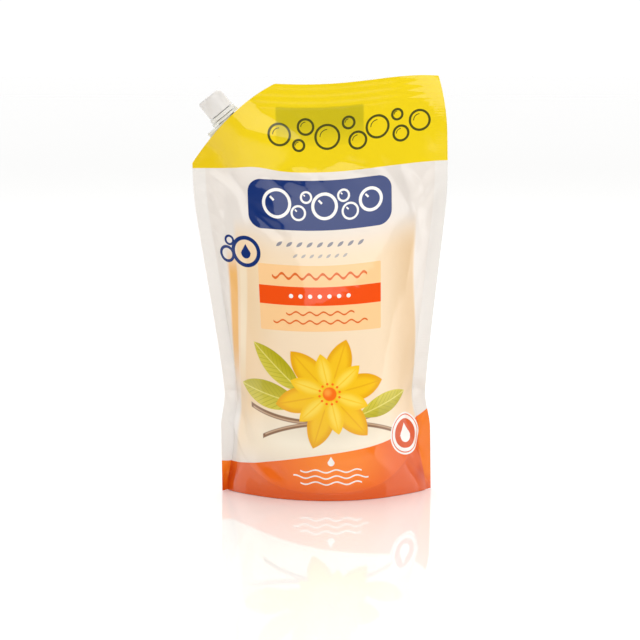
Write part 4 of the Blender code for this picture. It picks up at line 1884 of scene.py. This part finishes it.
@dataclass(frozen=True)
class SoftBox:
    """A rectangular light: where it hangs as seen from the pack, its size and its radiance."""

    name: str
    azimuth: float
    elevation: float
    distance: float
    width: float
    height: float
    radiance: float
    mirrored: bool = True

    def build(self, target: Vector) -> None:
        """Hang the light and turn it to the pack.

        Args:
            target: the point that it faces.
        """
        data = bpy.data.lights.new(self.name, "AREA")
        data.shape = "RECTANGLE"
        data.size, data.size_y = self.width, self.height
        data.energy = self.radiance * 4 * self.width * self.height
        turn, lift = math.radians(self.azimuth), math.radians(self.elevation)
        level = math.cos(lift)
        away = Vector((math.sin(turn) * level, -math.cos(turn) * level, math.sin(lift)))
        light = bpy.data.objects.new(self.name, data)
        light.location = target + away * self.distance
        light.rotation_euler = (-away).to_track_quat("-Z", "Y").to_euler()
        light.visible_glossy = self.mirrored
        bpy.context.scene.collection.objects.link(light)


SOFT_BOXES = (
    SoftBox("front_box", 14, 38, 1.7, 1.9, 1.4, 1.45),
    SoftBox("right_box", 84, 8, 1.6, 0.8, 1.3, 1.4),
    SoftBox("left_box", -92, 8, 1.6, 0.6, 1.3, 1.2),
    SoftBox("back_box", 175, 40, 1.9, 1.6, 0.9, 1.4),
    SoftBox("low_fill", -6, 4, 2.0, 2.2, 0.7, 0.85, mirrored=False),
)


@dataclass
class Studio:
    """A plain pale floor, a white surround and soft boxes."""

    floor_size: float = 12.0
    lit_height: float = 0.13
    seen_white: float = 1.05
    low_light: float = 0.1
    high_light: float = 0.8
    back_light: float = 0.95

    def build(self) -> None:
        """Make the floor, the world and the lights."""
        self.floor()
        self.world()
        for box in SOFT_BOXES:
            box.build(Vector((0, 0, self.lit_height)))

    def floor(self) -> None:
        """The surface that the pack stands on, which is no part of it."""
        bpy.ops.object.select_all(action="DESELECT")
        bpy.ops.mesh.primitive_plane_add(size=self.floor_size, location=(0, 0, -0.0002))
        floor = bpy.context.object
        floor.name = "floor"
        made, _, shader = blank_material("pale_acrylic_sheet")
        shader.inputs["Base Color"].default_value = linear("#FBFAF8")
        shader.inputs["Roughness"].default_value = 0.04
        floor.data.materials.append(made)

    def world(self) -> None:
        """A white surround for the eye, and for the film a dim room that is bright overhead."""
        world = bpy.data.worlds.new("surround")
        bpy.context.scene.world = world
        world.use_nodes = True
        tree = world.node_tree
        for node in list(tree.nodes):
            tree.nodes.remove(node)
        place = add_node(tree, "ShaderNodeTexCoord").outputs[0]
        way = add_node(tree, "ShaderNodeSeparateXYZ", {0: place})
        lift = Field(tree, way.outputs[2]).rise(0.3, 0.95)
        behind = Field(tree, way.outputs[1]).rise(-0.3, 0.8)
        glow = lift * (self.high_light - self.low_light) + behind * self.back_light + self.low_light
        path = add_node(tree, "ShaderNodeLightPath")
        white = (1, 1, 1, 1)
        seen = add_node(tree, "ShaderNodeBackground", {0: white, 1: self.seen_white})
        lit = add_node(tree, "ShaderNodeBackground", {0: white, 1: glow.socket})
        links = {0: path.outputs[0], 1: lit.outputs[0], 2: seen.outputs[0]}
        mixed = add_node(tree, "ShaderNodeMixShader", links)
        add_node(tree, "ShaderNodeOutputWorld", {0: mixed.outputs[0]})


@dataclass(frozen=True)
class ProductCamera:
    """A long lens a little above the pack, framed as in a square picture."""

    distance: float = 1.6
    elevation: float = math.radians(8)
    target: tuple[float, float, float] = (0.0, 0.0, 0.109)
    picture_width: float = 640 * 0.632 * MM
    sensor: float = 36.0

    def build(self) -> None:
        """Place the camera and make it the scene's own."""
        data = bpy.data.cameras.new("product_camera")
        data.sensor_width = self.sensor
        data.lens = self.sensor * self.distance / self.picture_width
        camera = bpy.data.objects.new("product_camera", data)
        away = Vector((0, -math.cos(self.elevation), math.sin(self.elevation)))
        camera.location = Vector(self.target) + away * self.distance
        camera.rotation_euler = (-away).to_track_quat("-Z", "Y").to_euler()
        bpy.context.scene.collection.objects.link(camera)
        bpy.context.scene.camera = camera


def main() -> None:
    """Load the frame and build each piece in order."""
    logging.basicConfig(level=logging.INFO, format="%(message)s")
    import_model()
    bpy.context.scene.view_settings.view_transform = "Standard"
    ProductCamera().build()
    Studio().build()
    axis = SpoutAxis()
    for part in (FilmPouch(), SpoutMoulding(axis), TamperRing(axis), CapShell(axis)):
        piece = part.build()
        LOG.info("%s: %d faces", piece.name, len(piece.data.polygons))


if __name__ == "__main__":
    main()
